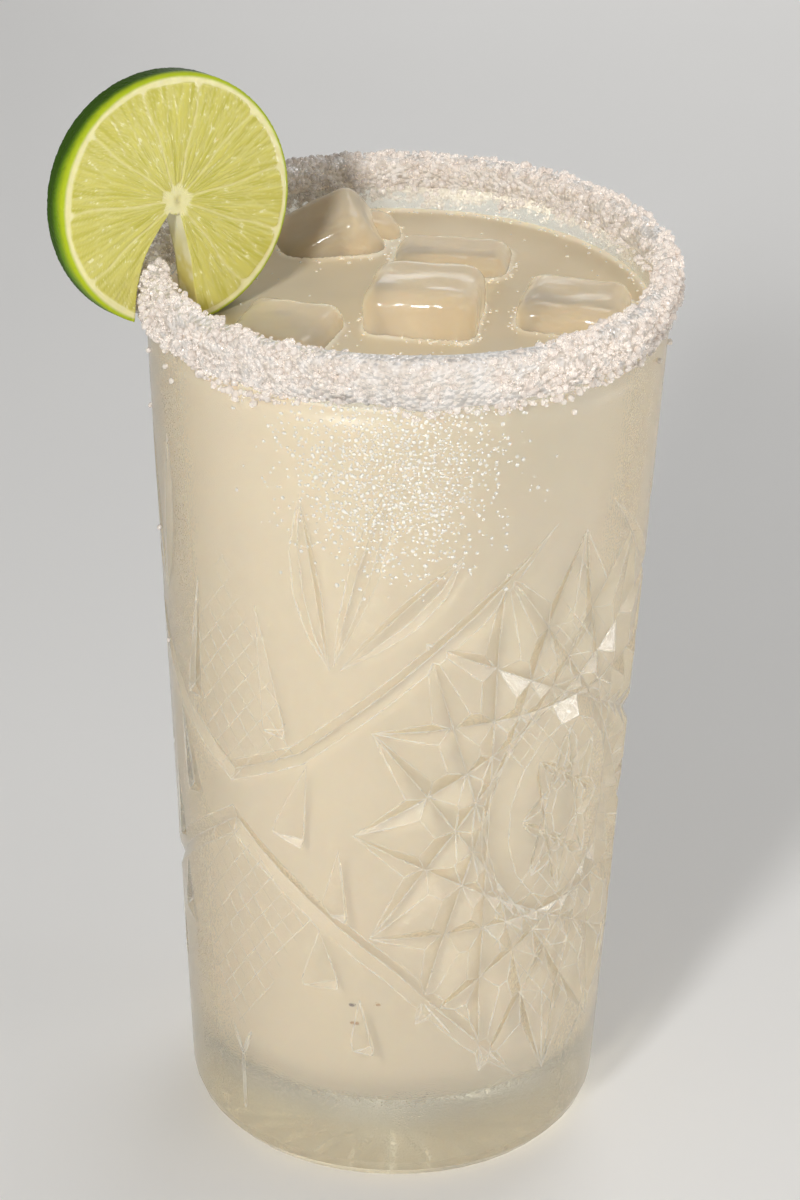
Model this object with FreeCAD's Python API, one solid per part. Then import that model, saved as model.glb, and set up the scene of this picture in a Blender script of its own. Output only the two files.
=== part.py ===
import FreeCAD
import Part
import math
import os
import random

# A salted highball of paloma: pressed cut-pattern glass, drink, ice, lime wheel.
# Lengths are millimetres, angles are degrees round the glass: 0 faces front
# (-Y) and grows toward +X. The glass stands on z = 0 about the Z axis.

# Glass body
glass_height = 155.0
rim_radius = 42.1
foot_radius = 34.1
foot_rounding = 7.0
lip_thickness = 2.35
wall_at_floor = 4.6
floor_thickness = 14.5
floor_rounding = 10.0
lip_rounding = 1.15
foot_ring_width = 3.4
punt_depth = 1.8
sunburst_rays = 24
sunburst_inner = 7.0
sunburst_gap = 1.0
sunburst_half_width = 0.8
sunburst_depth = 0.6

# Pressed pattern: one panel from mould seam to star centre, mirrored four times.
# Its heights are drawn on a panel that is stretched to the band it has here.
seam_angle = -44.8
panel_columns = 12
pattern_bottom = 8.5
plain_band = 16.0
drawn_top = 139.0
star_points = 16
star_step = 6
star_half_angle = 55.8
star_half_height = 51.3
star_centre_height = 70.3
star_groove_half_width = 3.1
star_groove_depth = 1.6
star_groove_run = 15.0
button_star_points = 8
button_star_step = 3
button_half_angle = 13.2
button_half_height = 15.4
button_groove_half_width = 0.95
button_groove_depth = 0.7
petal_half_width = 2.3
petal_depth = 1.1
ribbon_half_width = 2.1
ribbon_depth = 0.8
seam_half_width = 0.35
seam_depth = 0.15

# Contents
drink_below_rim = 9.0
meniscus_height = 0.7
ice_rounding = 3.0
ice_wall_gap = 0.6

# Lime wheel
lime_radius = 20.1
lime_thickness = 5.5
lime_edge_rounding = 0.7
pith_width = 2.6
core_radius = 2.4
membrane_width = 0.9
segment_angles = [6, 40, 72, 103, 138, 176, 212, 246, 304, 335]
slit_left = [(-1.6, -1.7), (-6.2, -7.4), (-8.2, -12.5)]
slit_right = [(1.9, -15), (1.3, -7), (0.4, -2.1)]
slit_mouth = (-8.8, 2.4)
lime_angle = -81.54
lime_inset = 4.23
lime_above_rim = 10.6
lime_yaw = 31.8
lime_lean = 9.0
flesh_rise = 0.25

# Salt round the rim
salt_stations = 120
salt_out = 1.25
salt_over = 1.0
salt_down_outside = 7.4
salt_down_inside = 6.2
salt_deep_angle = -58.0
salt_pressed_extra = 1.6
salt_bite = 0.5

os.makedirs("parts", exist_ok=True)
seeded = random.Random(11)

# The flat panel's depth, how far cutting shapes stand proud of what they cut, how far
# they pass right through it, and the distance within which the skin's corners are one
panel_depth = 3.0
lift = 0.3
through = 3.0
skin_weld = 0.01
arc_scale = math.radians(1.0) * 0.5 * (foot_radius + rim_radius)

pattern_top = glass_height - plain_band
height_scale = (pattern_top - pattern_bottom) / (drawn_top - pattern_bottom)
drink_level = glass_height - drink_below_rim
lip_bend = lip_thickness - lip_rounding


def vec(x, y, z):
    return FreeCAD.Vector(x, y, z)


def wall_radius(z):
    return foot_radius + (rim_radius - foot_radius) * z / glass_height


def lip_crest():
    # Radius of the lip's highest line.
    return wall_radius(glass_height - lip_rounding) - lip_rounding


def inner_radius(z):
    low = foot_radius - wall_at_floor
    high = lip_crest() - lip_bend
    return low + (high - low) * z / (glass_height - lip_bend)


def panel_height(z):
    # A height drawn on the panel, as it comes out on this glass.
    return pattern_bottom + (z - pattern_bottom) * height_scale


def on_wall(angle, z, outward):
    a = math.radians(angle)
    r = wall_radius(z) + outward
    return vec(r * math.sin(a), -r * math.cos(a), z)


def closed_solid(faces):
    solid = Part.makeSolid(Part.makeShell(faces))
    if solid.Volume < 0:
        solid.reverse()
    return solid


def flat_face(points):
    return Part.Face(Part.makePolygon(points + [points[0]]))


# Flat cutting shapes. The panel's top is height 0; u runs along the arc.

def groove(start, end, left, right, depth, run_in, run_out):
    # A V groove between two flat points that runs out to a tip at each end.
    ax, ay = start
    bx, by = end
    length = math.hypot(bx - ax, by - ay)
    dx, dy = (bx - ax) / length, (by - ay) / length
    grow = (depth + lift) / depth

    def place(along, across, height):
        return vec(ax + dx * along - dy * across, ay + dy * along + dx * across, height)

    near = run_in
    far = length - run_out
    first = place(near, 0, -depth)
    last = place(far, 0, -depth)
    top = [
        place(near - run_in * grow, 0, lift),
        place(near, -right * grow, lift),
        place(far, -right * grow, lift),
        place(far + run_out * grow, 0, lift),
        place(far, left * grow, lift),
        place(near, left * grow, lift),
    ]
    return closed_solid([
        flat_face(top),
        flat_face([top[0], top[1], first]),
        flat_face([top[0], first, top[5]]),
        flat_face([top[1], top[2], last, first]),
        flat_face([top[4], top[5], first, last]),
        flat_face([top[2], top[3], last]),
        flat_face([top[3], top[4], last]),
    ])


def mitre(start, end, left, right, depth, run_in, run_out):
    # A groove laid out on the panel, in degrees from the seam and heights.
    near = (start[0] * arc_scale, panel_height(start[1]))
    far = (end[0] * arc_scale, panel_height(end[1]))
    return groove(near, far, left, right, depth, run_in, run_out)


shallow_bowl = ((-1, 0), (-0.45, 0.75), (0.45, 0.75), (1, 0))
plain_vee = ((-1, 0), (0, 1), (1, 0))


def trough(spine, half_widths, depths, section):
    # A curved hollow of the given section, pointed where its width is zero.
    line = [(x * arc_scale, panel_height(y)) for x, y in spine]
    rows = []
    for i, (x, y) in enumerate(line):
        x0, y0 = line[max(i - 1, 0)]
        x1, y1 = line[min(i + 1, len(line) - 1)]
        length = math.hypot(x1 - x0, y1 - y0)
        nx, ny = -(y1 - y0) / length, (x1 - x0) / length
        w, d = half_widths[i], depths[i]
        if w == 0:
            rows.append([vec(x, y, 0)])
        else:
            rows.append([vec(x + nx * w * f, y + ny * w * f, -d * g) for f, g in section])
    faces = []
    up = vec(0, 0, lift)
    for a, b in zip(rows, rows[1:]):
        if len(a) == 1:
            for p, q in zip(b, b[1:]):
                faces.append(flat_face([a[0], q, p]))
        elif len(b) == 1:
            for p, q in zip(a, a[1:]):
                faces.append(flat_face([b[0], p, q]))
        else:
            for i in range(len(a) - 1):
                faces.append(flat_face([a[i], a[i + 1], b[i]]))
                faces.append(flat_face([a[i + 1], b[i + 1], b[i]]))
    left = [row[0] for row in rows]
    right = [row[-1] for row in rows]
    for side in (left, right):
        for p, q in zip(side, side[1:]):
            faces.append(flat_face([p, q, q + up, p + up]))
    if len(rows[0]) > 1:
        row = rows[0]
        faces.append(flat_face(row + [row[-1] + up, row[0] + up]))
    if len(rows[-1]) > 1:
        row = rows[-1]
        faces.append(flat_face(row + [row[-1] + up, row[0] + up]))
    ring = left + list(reversed(right))
    lid = []
    for p in ring:
        if not lid or (p - lid[-1]).Length > 1e-6:
            lid.append(p)
    if (lid[0] - lid[-1]).Length < 1e-6:
        lid.pop()
    faces.append(flat_face([p + up for p in lid]))
    return closed_solid(faces)


def star(points, step, half_angle, half_height, half_width, depth, run):
    tips = []
    for k in range(points):
        turn = 2 * math.pi * k / points
        tips.append((90 + half_angle * math.sin(turn),
                     star_centre_height + half_height * math.cos(turn)))
    return [mitre(tips[k], tips[(k + step) % points], half_width, half_width, depth, run, run)
            for k in range(points)]


# The panel's cuts, in degrees from the seam and millimetres up
cuts = star(star_points, star_step, star_half_angle, star_half_height,
            star_groove_half_width, star_groove_depth, star_groove_run)
cuts += star(button_star_points, button_star_step, button_half_angle, button_half_height,
             button_groove_half_width, button_groove_depth, 3.0)

fan_foot = (28.5, 100.5)
petals = [
    [fan_foot, (25.6, 106), (23.3, 113), (21.9, 121), (21.5, 131)],
    [(29.5, 101.5), (32.5, 109), (36.2, 118), (39.6, 127), (42.2, 135)],
    [(31.0, 100.8), (38.0, 105.5), (45.5, 110.5), (52.5, 116), (58.5, 122)],
]
for spine in petals:
    widths = [0, 0.62 * petal_half_width, petal_half_width, 0.85 * petal_half_width, 0]
    depths = [0, 0.6 * petal_depth, petal_depth, 0.8 * petal_depth, 0]
    cuts.append(trough(spine, widths, depths, shallow_bowl))

low_ribbon = [(80, 20), (66, 30), (45, 44), (20, 57), (-6, 70)]
high_ribbon = [(81, 124.5), (62, 110.5), (40, 96), (20, 83.5), (-6, 74)]
cuts.append(trough(low_ribbon, [0] + [ribbon_half_width] * 4,
                   [0] + [ribbon_depth] * 4, plain_vee))
cuts.append(trough(high_ribbon, [0] + [0.8 * ribbon_half_width] * 4,
                   [0] + [ribbon_depth] * 4, plain_vee))

# Sloping facets beside the kites: valley, widths to each side
cuts.append(mitre((9.5, 109), (16.5, 86), 0.5, 3.6, 0.9, 22.0, 1.2))
cuts.append(mitre((22.5, 82), (20.5, 66), 0.5, 5.2, 1.05, 13.5, 1.2))
cuts.append(mitre((30.5, 67), (32.0, 53), 0.5, 4.0, 0.95, 11.5, 1.2))
cuts.append(mitre((25.5, 51), (30.0, 40), 0.5, 6.0, 1.05, 9.0, 1.2))
cuts.append(mitre((36.0, 38.5), (39.5, 27.5), 0.5, 3.2, 0.9, 8.0, 1.2))

# Mould seam, forked at its top
cuts.append(mitre((0, 9.5), (0, 21), seam_half_width, seam_half_width, seam_depth, 0.5, 0.5))
cuts.append(mitre((0, 20.5), (3.5, 26), seam_half_width, seam_half_width, seam_depth, 0.5, 1.5))


def panel_triangles():
    # Cuts the flat panel column by column and returns its top as triangles.
    step = 90.0 / panel_columns
    found = []
    height = pattern_top - pattern_bottom
    for column in range(panel_columns):
        u0 = column * step * arc_scale
        u1 = (column + 1) * step * arc_scale
        box = Part.makeBox(u1 - u0, height, panel_depth, vec(u0, pattern_bottom, -panel_depth))
        near = [c for c in cuts if c.BoundBox.XMin < u1 and c.BoundBox.XMax > u0]
        if near:
            box = box.cut(near)
        for f in box.Faces:
            b = f.BoundBox
            if b.XLength < 1e-6 or b.YLength < 1e-6 or b.ZMax < 0.1 - panel_depth:
                continue
            points, corners = f.tessellate(0.05)
            flip = f.normalAt(0, 0).z < 0
            for i, j, k in corners:
                p, q, r = points[i], points[j], points[k]
                area = (q.x - p.x) * (r.y - p.y) - (q.y - p.y) * (r.x - p.x)
                if abs(area) < 1e-7:
                    continue
                found.append((p, q, r) if area > 0 else (p, r, q))
    return found


class Skin:
    # Gathers triangles; corners nearer than skin_weld are one.
    def __init__(self):
        self.points = []
        self.cells = {}
        self.triangles = []

    def corner(self, p):
        size = skin_weld
        key = (round(p.x / size), round(p.y / size), round(p.z / size))
        for dx in (0, -1, 1):
            for dy in (0, -1, 1):
                for dz in (0, -1, 1):
                    hit = self.cells.get((key[0] + dx, key[1] + dy, key[2] + dz))
                    if hit is not None and (self.points[hit] - p).Length < size:
                        return hit
        self.points.append(p)
        self.cells[key] = len(self.points) - 1
        return len(self.points) - 1

    def add(self, a, b, c):
        i, j, k = self.corner(a), self.corner(b), self.corner(c)
        if i != j and j != k and k != i:
            self.triangles.append((i, j, k))

    def holes(self):
        # Loops of edges that only one triangle has, turned the way that closes them.
        wanted = set()
        for t in self.triangles:
            for a, b in zip(t, t[1:] + t[:1]):
                if (a, b) in wanted:
                    wanted.remove((a, b))
                else:
                    wanted.add((b, a))
        after = dict(wanted)
        while after:
            first, end = after.popitem()
            loop = [self.points[first]]
            while end != first:
                loop.append(self.points[end])
                end = after.pop(end)
            yield loop


def outer_body():
    skin = Skin()
    flat = panel_triangles()
    for quarter in range(4):
        mirrored = quarter % 2 == 1
        base = seam_angle + 180.0 * ((quarter + 1) // 2)
        for triangle in flat:
            placed = []
            for p in triangle:
                s = p.x / arc_scale
                angle = base - s if mirrored else base + s
                placed.append(on_wall(angle, p.y, p.z))
            if mirrored:
                placed.reverse()
            skin.add(*placed)

    # Smooth rows above and below the pattern, on the same columns
    count = 4 * panel_columns
    foot_centre = wall_radius(foot_rounding) - foot_rounding
    low_rows = []
    for turn in (-90, -70, -50, -30, -12):
        t = math.radians(turn)
        low_rows.append((foot_centre + foot_rounding * math.cos(t),
                         foot_rounding + foot_rounding * math.sin(t)))
    low_rows.append((wall_radius(foot_rounding), foot_rounding))
    low_rows.append((wall_radius(pattern_bottom), pattern_bottom))
    high_rows = [(wall_radius(pattern_top), pattern_top)]
    for turn in (0, 25, 50, 70, 90):
        t = math.radians(turn)
        high_rows.append((lip_crest() + lip_rounding * math.cos(t),
                          glass_height - lip_rounding + lip_rounding * math.sin(t)))
    for rows in (low_rows, high_rows):
        for (r0, z0), (r1, z1) in zip(rows, rows[1:]):
            for column in range(count):
                a0 = math.radians(seam_angle + 360.0 * column / count)
                a1 = math.radians(seam_angle + 360.0 * (column + 1) / count)
                low0 = vec(r0 * math.sin(a0), -r0 * math.cos(a0), z0)
                low1 = vec(r0 * math.sin(a1), -r0 * math.cos(a1), z0)
                high0 = vec(r1 * math.sin(a0), -r1 * math.cos(a0), z1)
                high1 = vec(r1 * math.sin(a1), -r1 * math.cos(a1), z1)
                skin.add(low0, low1, high1)
                skin.add(low0, high1, high0)
    faces = [flat_face([skin.points[i] for i in t]) for t in skin.triangles]
    # The foot and the lip close with a flat ring, a needle gap in the pattern with a fan
    for loop in skin.holes():
        if len(loop) == count:
            faces.append(flat_face(loop))
        else:
            faces += [flat_face([loop[0], p, q]) for p, q in zip(loop[1:], loop[2:])]
    return closed_solid(faces)


def turned(edges):
    # A solid of revolution about the glass axis from a closed outline.
    return Part.Face(Part.Wire(edges)).revolve(vec(0, 0, 0), vec(0, 0, 1), 360)


def arc(centre, radius, start, end):
    # A round piece of outline in the X-Z plane, angles up from +X.
    points = []
    for turn in (start, 0.5 * (start + end), end):
        t = math.radians(turn)
        points.append(vec(centre[0] + radius * math.cos(t), 0, centre[1] + radius * math.sin(t)))
    return Part.Arc(*points).toShape(), points[0], points[2]


def line(a, b):
    return Part.LineSegment(a, b).toShape()


def floor_outline():
    # The hollow's floor and its rounding, from the axis outward.
    centre = (inner_radius(floor_thickness + floor_rounding) - floor_rounding,
              floor_thickness + floor_rounding)
    bend, low, high = arc(centre, floor_rounding, -90, 0)
    return [line(vec(0, 0, floor_thickness), low), bend], high


def hollow():
    edges, side = floor_outline()
    bend, low, high = arc((lip_crest(), glass_height - lip_bend), lip_bend, 180, 90)
    above = glass_height + through
    edges += [line(side, low), bend, line(high, vec(high.x, 0, above)),
              line(vec(high.x, 0, above), vec(0, 0, above)),
              line(vec(0, 0, above), vec(0, 0, floor_thickness))]
    return turned(edges)


def punt():
    # Shallow dome under the foot with a sunburst, so that the glass stands on a ring.
    ring = wall_radius(foot_rounding) - foot_rounding - foot_ring_width
    radius = (ring * ring + punt_depth * punt_depth) / (2 * punt_depth)
    dome = Part.makeSphere(radius, vec(0, 0, punt_depth - radius))
    middle = 0.5 * (sunburst_inner + ring)
    half = 0.5 * (ring - sunburst_gap - sunburst_inner)
    height = punt_depth - radius + math.sqrt(radius * radius - middle * middle)
    rays = []
    for k in range(sunburst_rays):
        ray = groove((-half, 0), (half, 0), sunburst_half_width, sunburst_half_width,
                     sunburst_depth, 0.6 * half, 0.6 * half)
        ray.rotate(vec(0, 0, 0), vec(1, 0, 0), 180)
        ray.rotate(vec(0, 0, 0), vec(0, 1, 0), math.degrees(math.asin(middle / radius)))
        ray.translate(vec(middle, 0, height))
        ray.rotate(vec(0, 0, 0), vec(0, 0, 1), 360.0 * k / sunburst_rays)
        rays.append(ray)
    return dome, rays


def plain_rim():
    # The smooth upper wall without its hollow, for shaping what sits on it.
    low = pattern_top
    bend, start, end = arc((lip_crest(), glass_height - lip_rounding), lip_rounding, 0, 90)
    edges = [line(vec(0, 0, low), vec(wall_radius(low), 0, low)),
             line(vec(wall_radius(low), 0, low), start), bend,
             line(end, vec(0, 0, glass_height)),
             line(vec(0, 0, glass_height), vec(0, 0, low))]
    return turned(edges).cut(hollow())


def drink_body():
    edges, side = floor_outline()
    edge_height = drink_level + meniscus_height
    wall = vec(inner_radius(edge_height), 0, edge_height)
    width = 1.8 * meniscus_height
    inner = vec(wall.x - width, 0, drink_level)
    middle = vec(wall.x - 0.42 * width, 0, drink_level + 0.25 * meniscus_height)
    edges += [line(side, wall), Part.Arc(wall, middle, inner).toShape(),
              line(inner, vec(0, 0, drink_level)),
              line(vec(0, 0, drink_level), vec(0, 0, floor_thickness))]
    return turned(edges)


def ice_piece(size, place, above, spin, tilt, tilt_towards):
    # A worn cube: rounded edges, spun about Z, then tipped. Its place is an angle round
    # the glass and a share of the way from the axis to where it would meet the wall; it
    # floats with its top that far above the drink.
    angle, share = math.radians(place[0]), place[1]
    reach = 0.5 * math.hypot(size[0], size[1]) - 0.41 * ice_rounding
    out = share * (inner_radius(drink_level) - ice_wall_gap - reach)
    centre = (out * math.sin(angle), -out * math.cos(angle))
    top = drink_level + above
    block = Part.makeBox(*size, vec(-size[0] / 2, -size[1] / 2, -size[2] / 2))
    block = block.makeFillet(ice_rounding, block.Edges)
    block.rotate(vec(0, 0, 0), vec(0, 0, 1), spin)
    t = math.radians(tilt_towards)
    block.rotate(vec(0, 0, 0), vec(-math.sin(t), math.cos(t), 0), tilt)
    block.translate(vec(centre[0], centre[1], top - block.BoundBox.ZMax))
    return block


def in_wheel_frame(shape):
    shape.rotate(vec(0, 0, 0), vec(1, 0, 0), -lime_lean)
    shape.rotate(vec(0, 0, 0), vec(0, 0, 1), lime_yaw)
    out = rim_radius - 0.5 * lip_thickness - lime_inset
    turn = math.radians(lime_angle)
    shape.translate(vec(out * math.sin(turn), -out * math.cos(turn), glass_height + lime_above_rim))
    return shape


def lime_wheel():
    # Local frame: the face is the X-Z plane, seen from -Y; thickness runs to +Y.
    back = vec(0, 1, 0)
    wheel = Part.makeCylinder(lime_radius, lime_thickness, vec(0, 0, 0), back)
    rims = [e for e in wheel.Edges if e.Curve.TypeId == "Part::GeomCircle"]
    wheel = wheel.makeFillet(lime_edge_rounding, rims)
    outer = lime_radius - pith_width
    for first, second in zip(segment_angles, segment_angles[1:] + [segment_angles[0] + 360]):
        corners = []
        middle = math.radians(0.5 * (first + second))
        half = math.radians(0.5 * (second - first))
        tip = max(core_radius, membrane_width / (2 * math.sin(half)))
        corners.append((tip + 0.4, middle))
        for share in (-1, -0.75, 0, 0.75, 1):
            shrink = 0.8 if abs(share) == 1 else 0
            gap = membrane_width / 2 / (outer - shrink)
            corners.append((outer - 2 * shrink, middle + share * (half - gap)))
        points = [vec(r * math.cos(a), -flesh_rise, r * math.sin(a)) for r, a in corners]
        pad = flat_face(points).extrude(back * (lime_thickness + 2 * flesh_rise))
        wheel = wheel.fuse(pad)
    mouth = [(x, -lime_radius - through) for x in slit_mouth]
    slit = [vec(x, -through, z) for x, z in slit_left + mouth + slit_right]
    wheel = wheel.cut(flat_face(slit).extrude(back * (lime_thickness + 2 * through)))
    return in_wheel_frame(wheel.Solids[0] if len(wheel.Solids) == 1 else wheel)


def uneven(angle, seeds):
    a = math.radians(angle)
    return sum(size * math.sin(rate * a + phase) for size, rate, phase in seeds)


def salt_heap():
    # A lumpy band hung over the lip, deeper outside where the rim was pressed harder.
    waves = [[(seeded.uniform(0.5, 1.0), rate, seeded.uniform(0, 6.28)) for rate in (3, 7, 13, 22)]
             for _ in range(4)]
    rows = []
    for k in range(salt_stations):
        angle = 360.0 * k / salt_stations
        press = max(0.0, math.cos(math.radians(angle - salt_deep_angle)))
        low_out = (glass_height - salt_down_outside - salt_pressed_extra * press ** 4
                   + 0.35 * uneven(angle, waves[0]))
        low_in = glass_height - salt_down_inside + 0.3 * uneven(angle, waves[1])
        out = salt_out * (1 + 0.12 * uneven(angle, waves[2]) + 0.12 * seeded.uniform(-1, 1))
        over = salt_over * (1 + 0.1 * uneven(angle, waves[3]) + 0.1 * seeded.uniform(-1, 1))
        a = math.radians(angle)
        profile = [
            (wall_radius(low_out) - salt_bite, low_out),
            (wall_radius(low_out) + 0.7 * out, low_out + 1.0),
            (rim_radius + out, glass_height - 0.43 * salt_down_outside),
            (rim_radius + 0.7 * out, glass_height + 0.1 * over),
            (rim_radius - 0.5 * lip_thickness, glass_height + over),
            (rim_radius - lip_thickness - 0.7 * out, glass_height + 0.1 * over),
            (rim_radius - lip_thickness - 0.9 * out, glass_height - 0.48 * salt_down_inside),
            (inner_radius(low_in) + salt_bite, low_in),
        ]
        rows.append([vec(r * math.sin(a), -r * math.cos(a), z) for r, z in profile])
    faces = []
    for one, two in zip(rows, rows[1:] + rows[:1]):
        count = len(one)
        for i in range(count):
            j = (i + 1) % count
            faces.append(flat_face([one[i], two[i], two[j]]))
            faces.append(flat_face([one[i], two[j], one[j]]))
    return closed_solid(faces)


def save(name, shape):
    if shape.ShapeType != "Solid" and len(shape.Solids) == 1:
        shape = shape.Solids[0]
    shape.exportStep("parts/" + name + ".step")
    box = shape.BoundBox
    print(name, shape.ShapeType, len(shape.Faces), "faces", round(shape.Volume), "mm3",
          "z", round(box.ZMin, 2), round(box.ZMax, 2), "valid", shape.isValid())


dome, rays = punt()
glass = outer_body().cut(hollow()).cut(dome).cut(rays)
save("glass", glass)

lime = lime_wheel()
ice = {
    "ice_middle": ice_piece((18, 17.5, 18), (30.6, 0.187), 7.4, -8, 3, 90),
    "ice_right": ice_piece((17, 17, 17), (85.2, 0.944), 4.6, -10, 3, 60),
    "ice_left": ice_piece((16, 17, 17), (-58.0, 0.803), 3.8, -20, 4, 200),
    "ice_back": ice_piece((19, 13.5, 16), (159.0, 0.70), 3.0, -6, 3, 90),
    "ice_chip": ice_piece((9, 8, 10), (-167.5, 0.88), 4.0, 20, 10, 0),
    "ice_peak": ice_piece((16, 12, 15), (-154.0, 0.95), 9.2, 6.6, 35, 218),
}
taken = [lime]
for name in list(ice):
    piece = ice[name].cut(taken)
    taken.append(piece)
    ice[name] = piece
    save(name, piece)
save("lime_wheel", lime)
drink = drink_body().cut(taken)
save("drink", drink)
salt = salt_heap().cut([plain_rim(), lime])
save("salt_rim", salt)
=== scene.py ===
import math

import bmesh
import bpy
import numpy as np
from mathutils import Euler, Matrix, Vector, noise
from mathutils.bvhtree import BVHTree


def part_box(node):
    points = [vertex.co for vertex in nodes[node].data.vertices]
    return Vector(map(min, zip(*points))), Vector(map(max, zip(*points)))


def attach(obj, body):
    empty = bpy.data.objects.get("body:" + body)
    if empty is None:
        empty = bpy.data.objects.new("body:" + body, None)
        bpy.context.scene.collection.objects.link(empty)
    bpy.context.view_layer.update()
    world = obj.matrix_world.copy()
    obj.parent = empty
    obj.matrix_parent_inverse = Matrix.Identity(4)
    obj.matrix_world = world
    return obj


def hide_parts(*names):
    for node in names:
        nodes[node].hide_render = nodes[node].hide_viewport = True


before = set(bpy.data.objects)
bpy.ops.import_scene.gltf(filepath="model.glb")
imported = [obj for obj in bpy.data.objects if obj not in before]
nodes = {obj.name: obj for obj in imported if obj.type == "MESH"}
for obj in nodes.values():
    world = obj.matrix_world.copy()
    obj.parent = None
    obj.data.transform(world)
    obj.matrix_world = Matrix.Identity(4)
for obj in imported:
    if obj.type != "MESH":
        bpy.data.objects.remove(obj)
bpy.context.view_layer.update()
mm = 0.001
weldDistance = 0.003 * mm
print("frame loaded")


# Helpers for nodes and materials

def addNode(tree, kind, inputs=None, **settings):
    made = tree.nodes.new(kind)
    for name, value in settings.items():
        setattr(made, name, value)
    for name, value in (inputs or {}).items():
        if isinstance(value, bpy.types.NodeSocket):
            tree.links.new(value, made.inputs[name])
        else:
            made.inputs[name].default_value = value
    return made


def calc(tree, operation, a, b=0.0):
    return addNode(tree, "ShaderNodeMath", {0: a, 1: b}, operation=operation).outputs[0]


def smoothMask(tree, value, low, high, outLow=0.0, outHigh=1.0):
    inputs = {"Value": value, "From Min": low, "From Max": high, "To Min": outLow, "To Max": outHigh}
    return addNode(tree, "ShaderNodeMapRange", inputs, interpolation_type="SMOOTHSTEP").outputs[0]


def mixColour(tree, factor, a, b):
    # 0, 6 and 7 are the colour sockets of the Mix node
    return addNode(tree, "ShaderNodeMix", {0: factor, 6: a, 7: b}, data_type="RGBA").outputs[2]


def objectPlace(tree):
    return addNode(tree, "ShaderNodeTexCoord").outputs["Object"]


def makeNoisePatches():
    # Uneven patches: smooth noise, and a soft mask between two of its levels
    group = bpy.data.node_groups.new("noisePatches", "ShaderNodeTree")
    sockets = group.interface
    sockets.new_socket("Place", in_out="INPUT", socket_type="NodeSocketVector")
    for name in ("Scale", "Detail", "Coarseness", "Low", "High"):
        sockets.new_socket(name, in_out="INPUT", socket_type="NodeSocketFloat")
    for name in ("Noise", "Mask"):
        sockets.new_socket(name, in_out="OUTPUT", socket_type="NodeSocketFloat")
    given = addNode(group, "NodeGroupInput").outputs
    uneven = addNode(group, "ShaderNodeTexNoise", {
        "Vector": given["Place"], "Scale": given["Scale"], "Detail": given["Detail"],
        "Roughness": given["Coarseness"]}).outputs[0]
    mask = smoothMask(group, uneven, given["Low"], given["High"])
    addNode(group, "NodeGroupOutput", {"Noise": uneven, "Mask": mask})
    return group


noisePatches = makeNoisePatches()


def patches(tree, place, scale, detail=2.0, coarseness=0.5, low=0.3, high=0.7):
    # Gives the plain noise and its mask, with a material's own values
    inputs = {"Place": place, "Scale": scale, "Detail": detail, "Coarseness": coarseness,
              "Low": low, "High": high}
    made = addNode(tree, "ShaderNodeGroup", inputs, node_tree=noisePatches)
    return made.outputs["Noise"], made.outputs["Mask"]


def bump(tree, height, strength, distance, **more):
    inputs = {"Height": height, "Strength": strength, "Distance": distance, **more}
    return addNode(tree, "ShaderNodeBump", inputs)


def newMaterial(name):
    material = bpy.data.materials.new(name)
    material.use_nodes = True
    material.node_tree.nodes.clear()
    return material, material.node_tree


def surface(tree, shader):
    return addNode(tree, "ShaderNodeOutputMaterial", {"Surface": shader.outputs[0]})


def lightThrough(tree, shader, dimmed):
    # Lets lamps shine through clear things onto what is inside them
    clear = addNode(tree, "ShaderNodeBsdfTransparent", {"Color": dimmed})
    shadow = addNode(tree, "ShaderNodeLightPath").outputs["Is Shadow Ray"]
    mixed = addNode(tree, "ShaderNodeMixShader", {0: shadow, 1: shader.outputs[0], 2: clear.outputs[0]})
    return surface(tree, mixed)


# Helpers for meshes

def newPiece(name, mesh, material=None):
    piece = bpy.data.objects.new(name, mesh)
    bpy.context.scene.collection.objects.link(piece)
    if material:
        mesh.materials.append(material)
    return piece


def shadeSmooth(mesh):
    mesh.polygons.foreach_set("use_smooth", [True] * len(mesh.polygons))


def meshOf(name, points, faces):
    mesh = bpy.data.meshes.new(name)
    mesh.from_pydata([tuple(p) for p in points], [], faces)
    shadeSmooth(mesh)
    mesh.update()
    return mesh


def addMask(mesh, name, values):
    mesh.attributes.new(name, "FLOAT", "POINT").data.foreach_set("value", np.asarray(values, np.float32))


def attribute(tree, name):
    return addNode(tree, "ShaderNodeAttribute", attribute_name=name).outputs["Fac"]


def applyModifiers(piece):
    graph = bpy.context.evaluated_depsgraph_get()
    mesh = bpy.data.meshes.new_from_object(piece.evaluated_get(graph))
    piece.modifiers.clear()
    old = piece.data
    piece.data = mesh
    bpy.data.meshes.remove(old)
    return mesh


def joinCopies(name, shapes, placements, smooth):
    # One mesh of many small copies; a placement is (shape number, 4x4 matrix)
    allPoints, allCorners, allTotals = [], [], []
    offset = 0
    for number, matrix in placements:
        points, faces = shapes[number]
        allPoints.append(points @ np.array(matrix.to_3x3()).T + np.array(matrix.translation))
        for face in faces:
            allCorners.extend(index + offset for index in face)
            allTotals.append(len(face))
        offset += len(points)
    mesh = bpy.data.meshes.new(name)
    mesh.vertices.add(offset)
    mesh.loops.add(len(allCorners))
    mesh.polygons.add(len(allTotals))
    mesh.vertices.foreach_set("co", np.concatenate(allPoints).astype(np.float32).ravel())
    mesh.loops.foreach_set("vertex_index", np.array(allCorners, np.int32))
    starts = np.concatenate(([0], np.cumsum(allTotals)[:-1])).astype(np.int32)
    mesh.polygons.foreach_set("loop_start", starts)
    mesh.polygons.foreach_set("use_smooth", [smooth] * len(allTotals))
    mesh.update(calc_edges=True)
    mesh.validate()
    return mesh


# Places on the glass: an angle of 0 degrees faces front and grows to the right

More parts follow.
